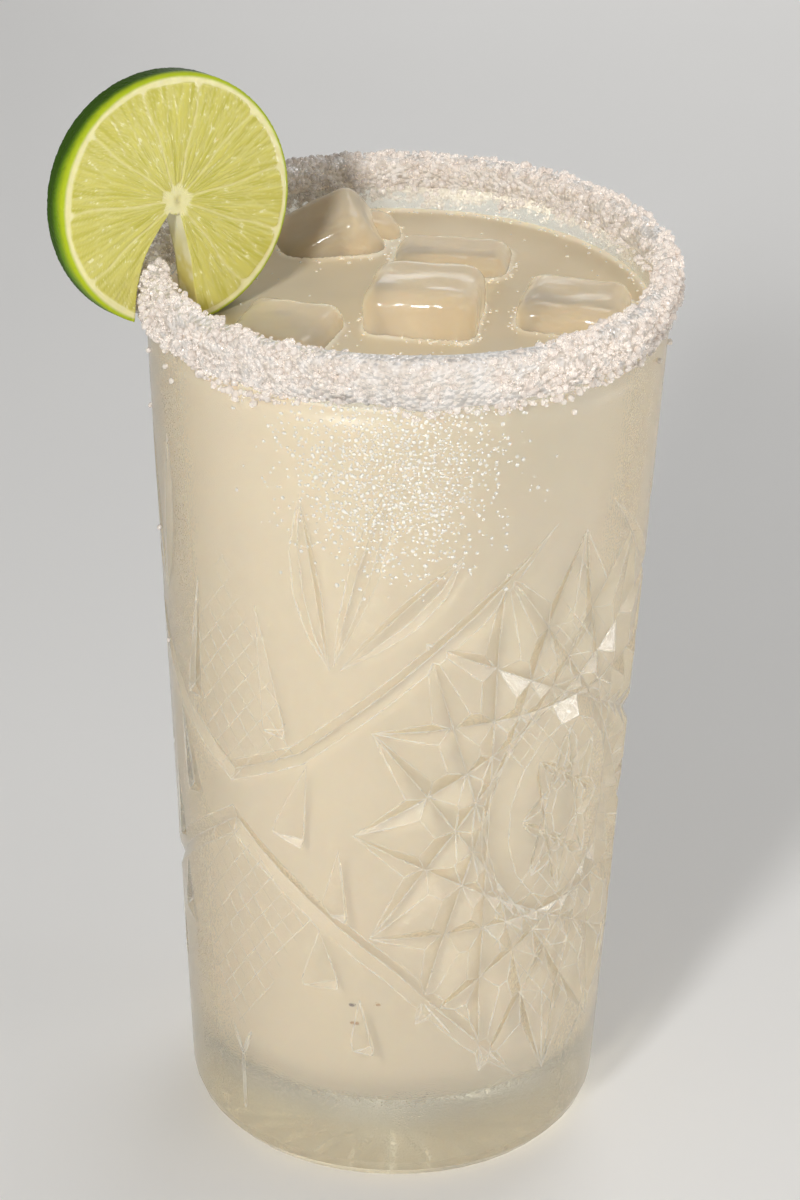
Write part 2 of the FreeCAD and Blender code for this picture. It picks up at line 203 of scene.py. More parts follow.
def turnedOutline(name):
    # Widest outline of a turned solid, as (radius, height) from the bottom up
    corners = [v.co for v in nodes[name].data.vertices]
    spots = {(round(math.hypot(co.x, co.y), 6), round(co.z, 6)) for co in corners}
    chain = []
    for spot in sorted(spots, key=lambda s: (s[1], s[0])):
        while len(chain) > 1:
            (ax, ay), (bx, by) = chain[-2], chain[-1]
            if (bx - ax) * (spot[1] - by) - (by - ay) * (spot[0] - bx) > 0:
                break
            chain.pop()
        chain.append(spot)
    return chain


outerOutline = turnedOutline("glass")
innerOutline = turnedOutline("drink")
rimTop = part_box("glass")[1].z
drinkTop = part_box("drink")[1].z


def radiusAt(outline, height):
    return float(np.interp(height, [z for r, z in outline], [r for r, z in outline]))


def atAngle(radius, angle, height):
    turn = math.radians(angle)
    return Vector((radius * math.sin(turn), -radius * math.cos(turn), height))


def onWall(angle, height, outward=0.0):
    return atAngle(radiusAt(outerOutline, height) + outward, angle, height)


def wallTurn(angle):
    # Turns a shape's +Z to point straight out of the wall
    return atAngle(1.0, angle, 0.0).to_track_quat("Z", "Y").to_matrix().to_4x4()


def between(sizes, share):
    return sizes["small"] + (sizes["large"] - sizes["small"]) * share


def angleOf(x, y):
    return np.degrees(np.arctan2(x, -y))


def angleApart(a, b):
    return abs((a - b + 180) % 360 - 180)


# Glass

glassLook = {
    "smoothUnder": 9.5,
    "mist": {"scale": 70.0, "detail": 3.0, "coarseness": 0.6},
    "mistCover": (0.3, 0.7, 0.15, 0.8), "mistRoughness": (0.3, 0.7, 0.12, 0.2),
    "patchAngle": -3.0, "patchWide": 17.0, "patchHeight": 136 * mm, "patchTall": 12 * mm,
    "patchFade": (0.35, 1.15, 1.0, 0.0),
    "dropScale": 2400.0, "dropFade": (0.1, 0.55, 1.0, 0.0), "dropRelief": (0.8, 0.1 * mm),
    "waves": {"scale": 160.0}, "waveRelief": (0.1, 0.4 * mm),
    "thinMist": (0.91, 0.92, 0.87, 1), "thickMist": (0.95, 0.95, 0.91, 1),
    "foot": (1.0, 0.96, 0.82, 1), "footTop": (11 * mm, 18 * mm),
    "edgeOn": (0.87, 0.77, 0.54, 1), "edgeOnFade": (0.3, 0.9),
    "transmission": 0.8, "coatRoughness": 0.42,
    "facetShade": (0.34, 0.34, 0.34, 1), "facetFade": (0.02, 0.6), "facetFoot": (12 * mm, 22 * mm),
    "depthColour": (0.90, 0.85, 0.64, 1), "depthDensity": 15.0,
}


def glassMaterial():
    look = glassLook
    material, tree = newMaterial("pressedGlass")
    spot = objectPlace(tree)
    x, y, z = addNode(tree, "ShaderNodeSeparateXYZ", {0: spot}).outputs
    angle = calc(tree, "DEGREES", calc(tree, "ARCTAN2", x, calc(tree, "MULTIPLY", y, -1.0)))

    # Fine mist over the cold wall, thickest in one patch under the rim
    mist, misty = patches(tree, spot, **look["mist"])
    across = calc(tree, "DIVIDE", calc(tree, "SUBTRACT", angle, look["patchAngle"]), look["patchWide"])
    upward = calc(tree, "DIVIDE", calc(tree, "SUBTRACT", z, look["patchHeight"]), look["patchTall"])
    away = calc(tree, "SQRT", calc(tree, "ADD", calc(tree, "MULTIPLY", across, across),
                                   calc(tree, "MULTIPLY", upward, upward)))
    patch = smoothMask(tree, away, *look["patchFade"])
    drops = addNode(tree, "ShaderNodeTexVoronoi", {"Vector": spot, "Scale": look["dropScale"]})
    drop = smoothMask(tree, drops.outputs["Distance"], *look["dropFade"])
    cover = calc(tree, "ADD", smoothMask(tree, mist, *look["mistCover"]), patch)
    fog = calc(tree, "MULTIPLY", drop, cover)
    waves = bump(tree, patches(tree, spot, **look["waves"])[0], *look["waveRelief"])
    misted = bump(tree, fog, *look["dropRelief"], Normal=waves.outputs[0]).outputs[0]

    # Seen edge on, the glass is thicker and its tint more beige
    facing = addNode(tree, "ShaderNodeLayerWeight", {"Blend": 0.5}).outputs["Facing"]
    wall = mixColour(tree, misty, look["thinMist"], look["thickMist"])
    bare = mixColour(tree, smoothMask(tree, z, *look["footTop"]), look["foot"], wall)
    tint = mixColour(tree, smoothMask(tree, facing, *look["edgeOnFade"]), bare, look["edgeOn"])
    shader = addNode(tree, "ShaderNodeBsdfPrincipled", {
        "Base Color": tint, "Roughness": smoothMask(tree, mist, *look["mistRoughness"]), "IOR": 1.5,
        "Transmission Weight": look["transmission"], "Coat Weight": 1.0,
        "Coat Roughness": look["coatRoughness"], "Normal": misted})

    # Lamps shine brighter through facets that face them, which prints the cuts on the drink
    turned = addNode(tree, "ShaderNodeLayerWeight", {"Blend": 0.5, "Normal": misted}).outputs["Facing"]
    aside = calc(tree, "MULTIPLY", smoothMask(tree, turned, *look["facetFade"]),
                 smoothMask(tree, z, *look["facetFoot"]))
    output = lightThrough(tree, shader, mixColour(tree, aside, (1, 1, 1, 1), look["facetShade"]))
    depth = addNode(tree, "ShaderNodeVolumeAbsorption",
                    {"Color": look["depthColour"], "Density": look["depthDensity"]})
    tree.links.new(depth.outputs[0], output.inputs["Volume"])
    return material


def softenFacets(piece):
    # Shares the corners of neighbouring facets and keeps only real edges sharp
    tree = bpy.data.node_groups.new("softFacets", "GeometryNodeTree")
    for way in ("INPUT", "OUTPUT"):
        tree.interface.new_socket("Geometry", in_out=way, socket_type="NodeSocketGeometry")
    start = addNode(tree, "NodeGroupInput")
    plain = addNode(tree, "GeometryNodeRemoveAttribute",
                    {"Geometry": start.outputs[0], "Name": "custom_normal"})
    merged = addNode(tree, "GeometryNodeMergeByDistance",
                     {"Geometry": plain.outputs[0], "Distance": weldDistance})
    faces = addNode(tree, "GeometryNodeSetShadeSmooth",
                    {0: merged.outputs[0], "Shade Smooth": True}, domain="FACE")
    bend = addNode(tree, "GeometryNodeInputMeshEdgeAngle")
    sharp = addNode(tree, "FunctionNodeCompare",
                    {"A": bend.outputs[0], "B": math.radians(glassLook["smoothUnder"])},
                    operation="GREATER_THAN")
    edges = addNode(tree, "GeometryNodeSetShadeSmooth",
                    {0: faces.outputs[0], "Selection": sharp.outputs[0], "Shade Smooth": False},
                    domain="EDGE")
    addNode(tree, "NodeGroupOutput", {0: edges.outputs[0]})
    piece.modifiers.new("softFacets", "NODES").node_group = tree


ridge = {
    # Pale ribbons along the edges of the cuts, painted highlights where the edges catch the light
    "leastBend": 11.0, "fullBend": 50.0, "shortest": 0.35 * mm, "low": 8.6 * mm, "high": 138.9 * mm,
    "narrow": 0.09 * mm, "wide": 0.17 * mm, "lift": 0.02 * mm,
    "taper": ((0.0, 0.35), (0.3, 1.0), (0.7, 1.0), (1.0, 0.35)),
    # Crossed lines in the kites beside the four seams: pale strips that stand for the fine cuts there and paint their
    # highlights; a kite is (top, waist, bottom, reach)
    "seamAngle": -44.8, "upperKite": (118 * mm, 84.5 * mm, 73 * mm, 21.0),
    "lowerKite": (67.5 * mm, 53 * mm, 23 * mm, 24.0),
    "lineStart": 110.3 * mm, "lineTall": 5.15 * mm, "lineWide": 6.0, "lineSpan": 120 * mm,
    "lineReach": 24.0, "lineStep": 0.8, "lineThick": 0.075 * mm,
    "colour": (0.95, 0.92, 0.84, 1), "roughness": 0.22,
    "patchy": {"scale": 190.0, "detail": 3.0}, "alpha": (0.3, 0.68, 0.12, 0.35),
}


def addStrip(points, faces, spine, normals, widths):
    # A narrow ribbon along a line of places, flat against the wall
    first = len(points)
    for index, (place, normal, wide) in enumerate(zip(spine, normals, widths)):
        ahead = spine[min(index + 1, len(spine) - 1)] - spine[max(index - 1, 0)]
        side = ahead.cross(normal).normalized() * wide
        points.extend((place + side, place - side))
    for row in range(first, len(points) - 2, 2):
        faces.append((row, row + 1, row + 3, row + 2))


def addEdgeRibbons(points, faces):
    made = bmesh.new()
    made.from_mesh(nodes["glass"].data)
    bmesh.ops.remove_doubles(made, verts=made.verts, dist=weldDistance)
    for edge in made.edges:
        a, b = edge.verts[0].co, edge.verts[1].co
        if len(edge.link_faces) != 2 or min(a.z, b.z) < ridge["low"] or max(a.z, b.z) > ridge["high"]:
            continue
        bend = edge.calc_face_angle_signed(0)
        if abs(bend) < math.radians(ridge["leastBend"]) or edge.calc_length() < ridge["shortest"]:
            continue
        normal = (edge.link_faces[0].normal + edge.link_faces[1].normal).normalized()
        sharpness = min(1, abs(bend) / math.radians(ridge["fullBend"]))
        wide = ridge["narrow"] + (ridge["wide"] - ridge["narrow"]) * sharpness
        lift = ridge["lift"] + (wide * math.tan(abs(bend) / 2) if bend < 0 else 0)
        spine = [a.lerp(b, along) + normal * lift for along, _ in ridge["taper"]]
        addStrip(points, faces, spine, [normal] * len(spine), [share * wide for _, share in ridge["taper"]])
    made.free()


def inKite(kite, slide, height):
    top, waist, bottom, reach = kite
    share = abs(slide) / reach
    return bottom + share * (waist - bottom) < height < top - share * (top - waist)


def addKiteLines(points, faces):
    lines = int(ridge["lineSpan"] / ridge["lineTall"])
    slides = np.arange(-ridge["lineReach"], ridge["lineReach"] + 0.01, ridge["lineStep"])
    for seam in range(4):
        for way in (1, -1):
            for line in range(-lines, lines):
                run = []
                for slide in slides:
                    rise = line - way * slide / ridge["lineWide"]
                    height = ridge["lineStart"] + ridge["lineTall"] * rise
                    inside = (inKite(ridge["upperKite"], slide, height)
                              or inKite(ridge["lowerKite"], slide, height))
                    if inside:
                        angle = ridge["seamAngle"] + 90 * seam + slide
                        run.append((onWall(angle, height, ridge["lift"]), atAngle(1.0, angle, 0.0)))
                    if run and (not inside or slide == slides[-1]):
                        if len(run) > 2:
                            widths = [0.0] + [ridge["lineThick"]] * (len(run) - 2) + [0.0]
                            addStrip(points, faces, [r[0] for r in run], [r[1] for r in run], widths)
                        run = []


def ridgeShine():
    points, faces = [], []
    addEdgeRibbons(points, faces)
    addKiteLines(points, faces)
    return meshOf("ridgeShine", points, faces)


# A pale, partly clear finish for the painted highlights of the ribbons and lines
def ridgeMaterial():
    material, tree = newMaterial("ridgeShine")
    patchy = patches(tree, objectPlace(tree), **ridge["patchy"])[0]
    surface(tree, addNode(tree, "ShaderNodeBsdfPrincipled", {
        "Base Color": ridge["colour"], "Roughness": ridge["roughness"], "IOR": 1.5,
        "Alpha": smoothMask(tree, patchy, *ridge["alpha"])}))
    return material


glass = nodes["glass"]
glassFinish = glassMaterial()
glass.data.materials.clear()
glass.data.materials.append(glassFinish)
softenFacets(glass)
ridges = newPiece("ridgeShine", ridgeShine(), ridgeMaterial())
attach(ridges, "root")
print("glass done:", len(ridges.data.polygons), "faces of ridge shine")


# Ice

iceLook = {
    "voxel": 0.6 * mm, "smoothing": (0.5, 6),
    "waves": ((210, 0.3 * mm), (900, 0.05 * mm)),
    "frosting": {"scale": 120.0, "detail": 4.0, "coarseness": 0.55, "low": 0.4, "high": 0.66},
    "deep": (0.76, 0.65, 0.48, 1), "frost": (0.80, 0.70, 0.54, 1),
    # Painted sheen: a paler colour where the ice is seen edge on
    "edge": (0.87, 0.79, 0.63, 1), "edgeFade": (0.25, 0.8),
    "roughness": (0.35, 0.7, 0.1, 0.18), "meltScale": 420.0, "meltRelief": (0.2, 0.3 * mm),
    "clearness": 0.42, "milkiness": 0.8, "milkyDepth": 3 * mm, "milkyReach": (1.0, 0.9, 0.7),
    "shadow": (0.94, 0.92, 0.88, 1),
}


def iceMaterial():
    look = iceLook
    material, tree = newMaterial("frostedIce")
    spot = objectPlace(tree)
    cloud, frost = patches(tree, spot, **look["frosting"])
    body = mixColour(tree, frost, look["deep"], look["frost"])
    # Paler where the surface is seen edge on: a painted sheen
    facing = addNode(tree, "ShaderNodeLayerWeight", {"Blend": 0.5}).outputs["Facing"]
    tint = mixColour(tree, smoothMask(tree, facing, *look["edgeFade"]), body, look["edge"])
    melt = bump(tree, patches(tree, spot, look["meltScale"])[0], *look["meltRelief"])
    shader = addNode(tree, "ShaderNodeBsdfPrincipled", {
        "Base Color": tint, "Roughness": smoothMask(tree, cloud, *look["roughness"]), "IOR": 1.31,
        "Transmission Weight": look["clearness"], "Subsurface Weight": look["milkiness"],
        "Subsurface Radius": look["milkyReach"], "Subsurface Scale": look["milkyDepth"],
        "Normal": melt.outputs[0]})
    lightThrough(tree, shader, look["shadow"])
    return material


def meltedIce(name):
    # The frame's worn cube, rounded further and given the wavy skin of melting ice
    piece = newPiece(name + "Melting", nodes[name].data.copy())
    remesh = piece.modifiers.new("remesh", "REMESH")
    remesh.mode = "VOXEL"
    remesh.voxel_size = iceLook["voxel"]
    smooth = piece.modifiers.new("smooth", "SMOOTH")
    smooth.factor, smooth.iterations = iceLook["smoothing"]
    mesh = applyModifiers(piece)
    normals = [v.normal.copy() for v in mesh.vertices]
    for v, normal in zip(mesh.vertices, normals):
        v.co += normal * sum(noise.noise(v.co * scale) * size for scale, size in iceLook["waves"])
    shadeSmooth(mesh)
    mesh.materials.clear()
    return piece


iceFinish = iceMaterial()
icePieces = {}
iceTrees = []
iceNames = [name for name in nodes if name.startswith("ice_")]
for name in iceNames:
    piece = meltedIce(name)
    piece.data.materials.append(iceFinish)
    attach(piece, "root")
    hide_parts(name)
    icePieces[name] = piece
    iceTrees.append(BVHTree.FromPolygons([v.co for v in piece.data.vertices],
                                         [tuple(p.vertices) for p in piece.data.polygons]))
print("ice done:", len(icePieces), "pieces")


# Drink

drinkLook = {
    "reach": 0.35 * mm, "around": 256, "wallRows": 24, "topRows": 90, "topCrowding": 1.25,
    "meniscus": 0.7 * mm, "creep": 0.9 * mm,
    "iceMeniscus": 0.55 * mm, "iceCreep": 0.7 * mm, "iceNear": 4 * mm, "iceShrink": 0.975,
    "wave": 0.12 * mm, "waveScale": 160,
    "lower": (0.745, 0.622, 0.437, 1), "upper": (0.72, 0.606, 0.42, 1), "upperFade": (15 * mm, 140 * mm),
    "clouding": {"scale": 28.0, "detail": 4.0}, "cloudFade": (0.35, 0.65, 0.0, 0.35),
    # The edge colour is a painted highlight along the meniscus
    "cloud": (0.77, 0.655, 0.474, 1), "edge": (0.90, 0.83, 0.68, 1), "edgeFade": (0.8, 0.3), "paintedHighlightMost": 0.8,
    "roughness": 0.27, "milkiness": 0.7, "milkyDepth": 0.7 * mm, "milkyReach": (1.0, 0.8, 0.55),
}


def drinkMaterial():
    look = drinkLook
    material, tree = newMaterial("cloudyPaloma")
    spot = objectPlace(tree)
    z = addNode(tree, "ShaderNodeSeparateXYZ", {0: spot}).outputs[2]
    body = mixColour(tree, smoothMask(tree, z, *look["upperFade"]), look["lower"], look["upper"])
    cloud = smoothMask(tree, patches(tree, spot, **look["clouding"])[0], *look["cloudFade"])
    clouded = mixColour(tree, cloud, body, look["cloud"])
    # A pale line where the drink climbs the wall and the ice: a painted highlight on the meniscus
    low, high = [drinkTop - share * look["meniscus"] for share in look["edgeFade"]]
    edge = smoothMask(tree, z, low, high, 0.0, look["paintedHighlightMost"])
    surface(tree, addNode(tree, "ShaderNodeBsdfPrincipled", {
        "Base Color": mixColour(tree, edge, clouded, look["edge"]), "Roughness": look["roughness"],
        "IOR": 1.34, "Subsurface Weight": look["milkiness"], "Subsurface Radius": look["milkyReach"],
        "Subsurface Scale": look["milkyDepth"]}))
    return material


def surfaceHeight(x, y):
    # The drink climbs a little where it meets the wall and the ice
    look = drinkLook
    level = drinkTop - look["meniscus"]
    toWall = max(radiusAt(innerOutline, drinkTop) - math.hypot(x, y), 0.0)
    height = level + look["meniscus"] * math.exp(-toWall / look["creep"])
    here = Vector((x, y, level))
    for tree in iceTrees:
        distance = tree.find_nearest(here, look["iceNear"])[3]
        if distance is not None:
            height += look["iceMeniscus"] * math.exp(-distance / look["iceCreep"])
    return height + look["wave"] * noise.noise(Vector((x, y, 0)) * look["waveScale"])


def drinkMesh():
    look = drinkLook
    around = look["around"]
    # The outline reaches a little into the glass, so that no gap shows between them
    outline = [(0.0, innerOutline[0][1] - look["reach"])]
    for index, (radius, height) in enumerate(innerOutline):
        before = innerOutline[max(index - 1, 0)]
        after = innerOutline[min(index + 1, len(innerOutline) - 1)]
        run = Vector((after[0] - before[0], after[1] - before[1])).normalized()
        outline.append((radius + look["reach"] * run.y, height - look["reach"] * run.x))
    # Extra rows up the straight wall keep its faces even
    (lowRadius, lowHeight), (topRadius, topHeight) = outline[-2:]
    shares = [k / look["wallRows"] for k in range(1, look["wallRows"])]
    outline[-1:] = [(lowRadius + (topRadius - lowRadius) * share, lowHeight + (topHeight - lowHeight) * share)
                    for share in shares]
    turns = [2 * math.pi * k / around for k in range(around)]
    points = [(0.0, 0.0, outline[0][1])]
    for radius, height in outline[1:]:
        points += [(radius * math.cos(turn), radius * math.sin(turn), height) for turn in turns]
    for row in range(look["topRows"]):
        radius = topRadius * (1 - (row / look["topRows"]) ** look["topCrowding"])
        for turn in turns:
            x, y = radius * math.cos(turn), radius * math.sin(turn)
            points.append((x, y, surfaceHeight(x, y)))
    points.append((0.0, 0.0, surfaceHeight(0.0, 0.0)))
    rings = len(outline) - 1 + look["topRows"]
    faces = []
    for k in range(around):
        after = (k + 1) % around
        faces.append((0, 1 + after, 1 + k))
        for ring in range(rings - 1):
            low = 1 + ring * around
            faces.append((low + k, low + after, low + around + after, low + around + k))
        last = 1 + (rings - 1) * around
        faces.append((last + k, last + after, len(points) - 1))
    return meshOf("palomaDrink", points, faces)


def cutPockets(piece):
    # Leaves room for the ice, a little smaller than it is so that the drink hugs it
    cutters = []
    for name, ice in icePieces.items():
        cutter = newPiece(name + "Pocket", ice.data.copy())
        middle = sum((v.co for v in cutter.data.vertices), Vector()) / len(cutter.data.vertices)
        cutter.data.transform(Matrix.Translation(middle) @ Matrix.Scale(drinkLook["iceShrink"], 4)
                              @ Matrix.Translation(-middle))
        cutters.append(cutter)
        pocket = piece.modifiers.new("pocket", "BOOLEAN")
        pocket.operation = "DIFFERENCE"
        pocket.solver = "MANIFOLD"
        pocket.object = cutter
    applyModifiers(piece)
    for cutter in cutters:
        bpy.data.objects.remove(cutter)


drink = newPiece("palomaDrink", drinkMesh())
cutPockets(drink)
drink.data.materials.clear()
drink.data.materials.append(drinkMaterial())
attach(drink, "root")
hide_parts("drink")
print("drink done:", len(drink.data.polygons), "faces")


# Lime wheel

lime = {
    # The wheel and how it hangs on the rim
    "radius": 20.1 * mm, "thickness": 5.5 * mm, "edge": 0.7 * mm,
    "yaw": 31.8, "lean": 9.0, "aboveRim": 10.6 * mm,
    "pith": 1.3 * mm, "pithWaves": (0.12, 5, 0.06, 13), "core": 2.4 * mm, "coreWaves": (0.16, 5, 0.08, 11),
    # Membranes, in degrees round the wheel
    "membranes": [6, 40, 72, 103, 138, 176, 212, 246, 304, 335], "membrane": 0.05 * mm,
    "membraneSway": (0.02, 500, 2.1), "membraneUneven": (0.7, 0.5, 330), "ownSide": 1.2,
    "cornerRound": 1.1 * mm, "pulpEdge": 0.26 * mm,
    # Edges of the slit, as (radius, degrees)
    "slitRight": [(2.2 * mm, -79.2), (7.1 * mm, -79.5), (15.1 * mm, -82.8), (23.1 * mm, -84.0)],
    "slitLeft": [(2.2 * mm, 226.6), (9.6 * mm, 230.0), (15.0 * mm, 236.7), (24.6 * mm, 249.1)],
    "openColumns": 430, "gapColumns": 30, "faceRows": 84, "rindRows": 10, "hubRings": (0.82, 0.6, 0.38, 0.17),
    # Juice sacs and the relief of flesh, pith and rind
    "seed": 31, "sacs": 620, "sacRange": (0.012, 0.86), "sacLong": 4.4 * mm, "sacWide": 0.55 * mm,
    "sacWiden": (0.55, 0.6), "sacGap": 0.45, "sacDepth": 0.14 * mm, "sacMiddle": 0.6,
    "bulge": 0.24 * mm, "bulgeShares": (0.35, 0.5), "streakDepth": 0.05 * mm, "streaks": (190, 3, 23, 900),
    "pithRelief": 0.05 * mm, "pithWaviness": (37, 2500), "poreRelief": 0.09 * mm,
    "poreStretch": (42, 2100, 1500), "backTurn": 0.4, "backSeed": 4.0,
    "finish": {
        "sacDark": (0.56, 0.52, 0.09, 1), "sacPale": (0.70, 0.645, 0.17, 1), "sacSkin": (0.70, 0.65, 0.21, 1),
        # Painted highlights: short pale streaks on the skins between the sacs
        "paintedGlints": {"scale": 820.0, "low": 0.55, "high": 0.66}, "paintedGlintFade": (0.05, 0.5, 0.8, 0.0),
        "paintedGlint": (0.93, 0.90, 0.55, 1),
        "pithDark": (0.83, 0.77, 0.36, 1), "pithPale": (0.90, 0.85, 0.52, 1), "pithFrom": (0.87, 0.92),
        "coreUpTo": (0.10, 0.16, 1.0, 0.0), "membrane": (0.77, 0.715, 0.30, 1),
        "rindFront": (0.45, 0.54, 0.02, 1), "rind": (0.16, 0.30, 0.008, 1), "rindTop": (0.035, 0.085, 0.003, 1),
        "rindShares": (0.7, 0.3), "rindFade": (0.14, 0.46), "rindFrom": (0.955, 0.985),
        "rindTopFade": (0.42, 0.7), "rindTopRise": 7.0, "blotches": {"scale": 75.0, "detail": 3.0},
        "slitCore": (0.86, 0.83, 0.58, 1), "slitFlesh": (0.68, 0.60, 0.17, 1), "slitFade": (0.15, 0.6),
        "slitStreaks": {"scale": 260.0, "low": 0.45, "high": 0.7}, "slitStreak": (0.84, 0.80, 0.50, 1),
        "slitPith": (0.88, 0.86, 0.55, 1), "slitPithFrom": (0.89, 0.93),
        "fine": {"scale": 900.0, "detail": 3.0}, "fineShare": 0.4,
        "poreScale": 1100.0, "poreFade": (0.0, 0.5), "relief": (0.6, 0.16 * mm),
        "wetness": (0.2, 0.9, 0.4, 0.14), "rindRoughness": 0.12, "coat": 0.6, "coatRoughness": 0.08,
        "specular": 0.15, "softFlesh": 0.35, "softRind": 0.05, "softDepth": 2.2 * mm, "softReach": (1.0, 0.9, 0.3),
    },
}


def turnApart(turn, other):
    return np.angle(np.exp(1j * (turn - other)))


def waved(size, turn, phase, waves):
    big, bigCount, small, smallCount = waves
    return size * (1 + big * np.sin(turn * bigCount + phase) + small * np.sin(turn * smallCount))


def pulpMask(radius, turn, seed):
    # 1 in the middle of a segment, falling to 0 at its rounded border
    near = np.full(radius.shape, 1.0)
    swayMost, swayScale, swayShift = lime["membraneSway"]
    for index, angle in enumerate(lime["membranes"]):
        sway = swayMost * np.sin(radius * swayScale + index * swayShift + seed)
        apart = np.abs(turnApart(turn, math.radians(angle) + sway))
        # Distance from the membrane's line, on its own side of the wheel
        near = np.minimum(near, np.where(apart < lime["ownSide"], np.sin(apart) * radius, 1.0))
    least, more, unevenScale = lime["membraneUneven"]
    fromMembrane = near - lime["membrane"] * (least + more * np.abs(np.sin(radius * unevenScale + seed)))
    fromPith = lime["radius"] - waved(lime["pith"], turn, seed, lime["pithWaves"]) - radius
    fromCore = radius - waved(lime["core"], turn, 1 + seed, lime["coreWaves"])
    corner = lime["cornerRound"]
    rounded = corner - np.hypot(np.clip(corner - fromPith, 0, None), np.clip(corner - fromMembrane, 0, None))
    inside = np.minimum(np.minimum(fromPith, fromMembrane), fromCore)
    inside = np.where((fromPith < corner) & (fromMembrane < corner), np.minimum(rounded, inside), inside)
    pulp = np.clip(inside / lime["pulpEdge"], 0, 1)
    return pulp * pulp * (3 - 2 * pulp)


def juiceSacs(radius, turn, seed):
    # Long cells that point at the middle: each one's roundness and its own random shade
    rng = np.random.default_rng(lime["seed"] + int(seed))
    count = lime["sacs"]
    sacRadius = lime["radius"] * np.sqrt(rng.uniform(*lime["sacRange"], count))
    sacTurn = rng.uniform(-math.pi, math.pi, count)
    sacShade = rng.uniform(0, 1, count)
    narrow, widen = lime["sacWiden"]
    first = np.full(radius.shape, 9.0)
    second = np.full(radius.shape, 9.0)
    shade = np.zeros(radius.shape)
    for r0, t0, s0 in zip(sacRadius, sacTurn, sacShade):
        along = (radius - r0) / lime["sacLong"]
        width = lime["sacWide"] * (narrow + widen * r0 / lime["radius"])
        gap = np.hypot(along, turnApart(turn, t0) * 0.5 * (radius + r0) / width)
        closer = gap < first
        second = np.where(closer, first, np.minimum(second, gap))
        shade = np.where(closer, s0, shade)
        first = np.where(closer, gap, first)
    ridgeLine = np.clip((second - first) / lime["sacGap"], 0, 1)
    return ridgeLine * (2 - ridgeLine), shade


def cutFace(radius, turn, seed):
    # Relief and masks over a cut face, from arrays of radius and angle
    pulp = pulpMask(radius, turn, seed)
    sac, shade = juiceSacs(radius, turn, seed)
    often, sway, swayTurn, swayOut = lime["streaks"]
    streak = 0.5 + 0.5 * np.sin(turn * often + sway * np.sin(turn * swayTurn + radius * swayOut) + seed)
    flat, full = lime["bulgeShares"]
    height = pulp * (lime["bulge"] * (flat + full * shade) + lime["sacDepth"] * (sac - lime["sacMiddle"])
                     + lime["streakDepth"] * (streak - 0.5))
    aroundScale, outScale = lime["pithWaviness"]
    height += (1 - pulp) * lime["pithRelief"] * np.sin(turn * aroundScale + radius * outScale)
    return height, {"pulp": pulp, "sac": sac, "shade": shade}


def wheelProfile():
    # (radius, depth) over the front face, the rind and the back face; gives each part's length too
    radius, thick, edge = lime["radius"], lime["thickness"], lime["edge"]
    front = [(r, 0.0) for r in np.linspace(lime["slitRight"][0][0], radius - edge, lime["faceRows"])]
    for bend in (22.5, 45, 67.5):
        turn = math.radians(bend)
        front.append((radius - edge + edge * math.sin(turn), edge - edge * math.cos(turn)))
    rows = lime["rindRows"]
    rind = [(radius, edge + (thick - 2 * edge) * k / rows) for k in range(rows + 1)]
    back = [(r, thick - y) for r, y in reversed(front)]
    return front + rind + back, len(front), len(rind)


def slitTurns(r):
    edges = (zip(*lime["slitRight"]), zip(*lime["slitLeft"]))
    return [math.radians(float(np.interp(r, *edge))) for edge in edges]


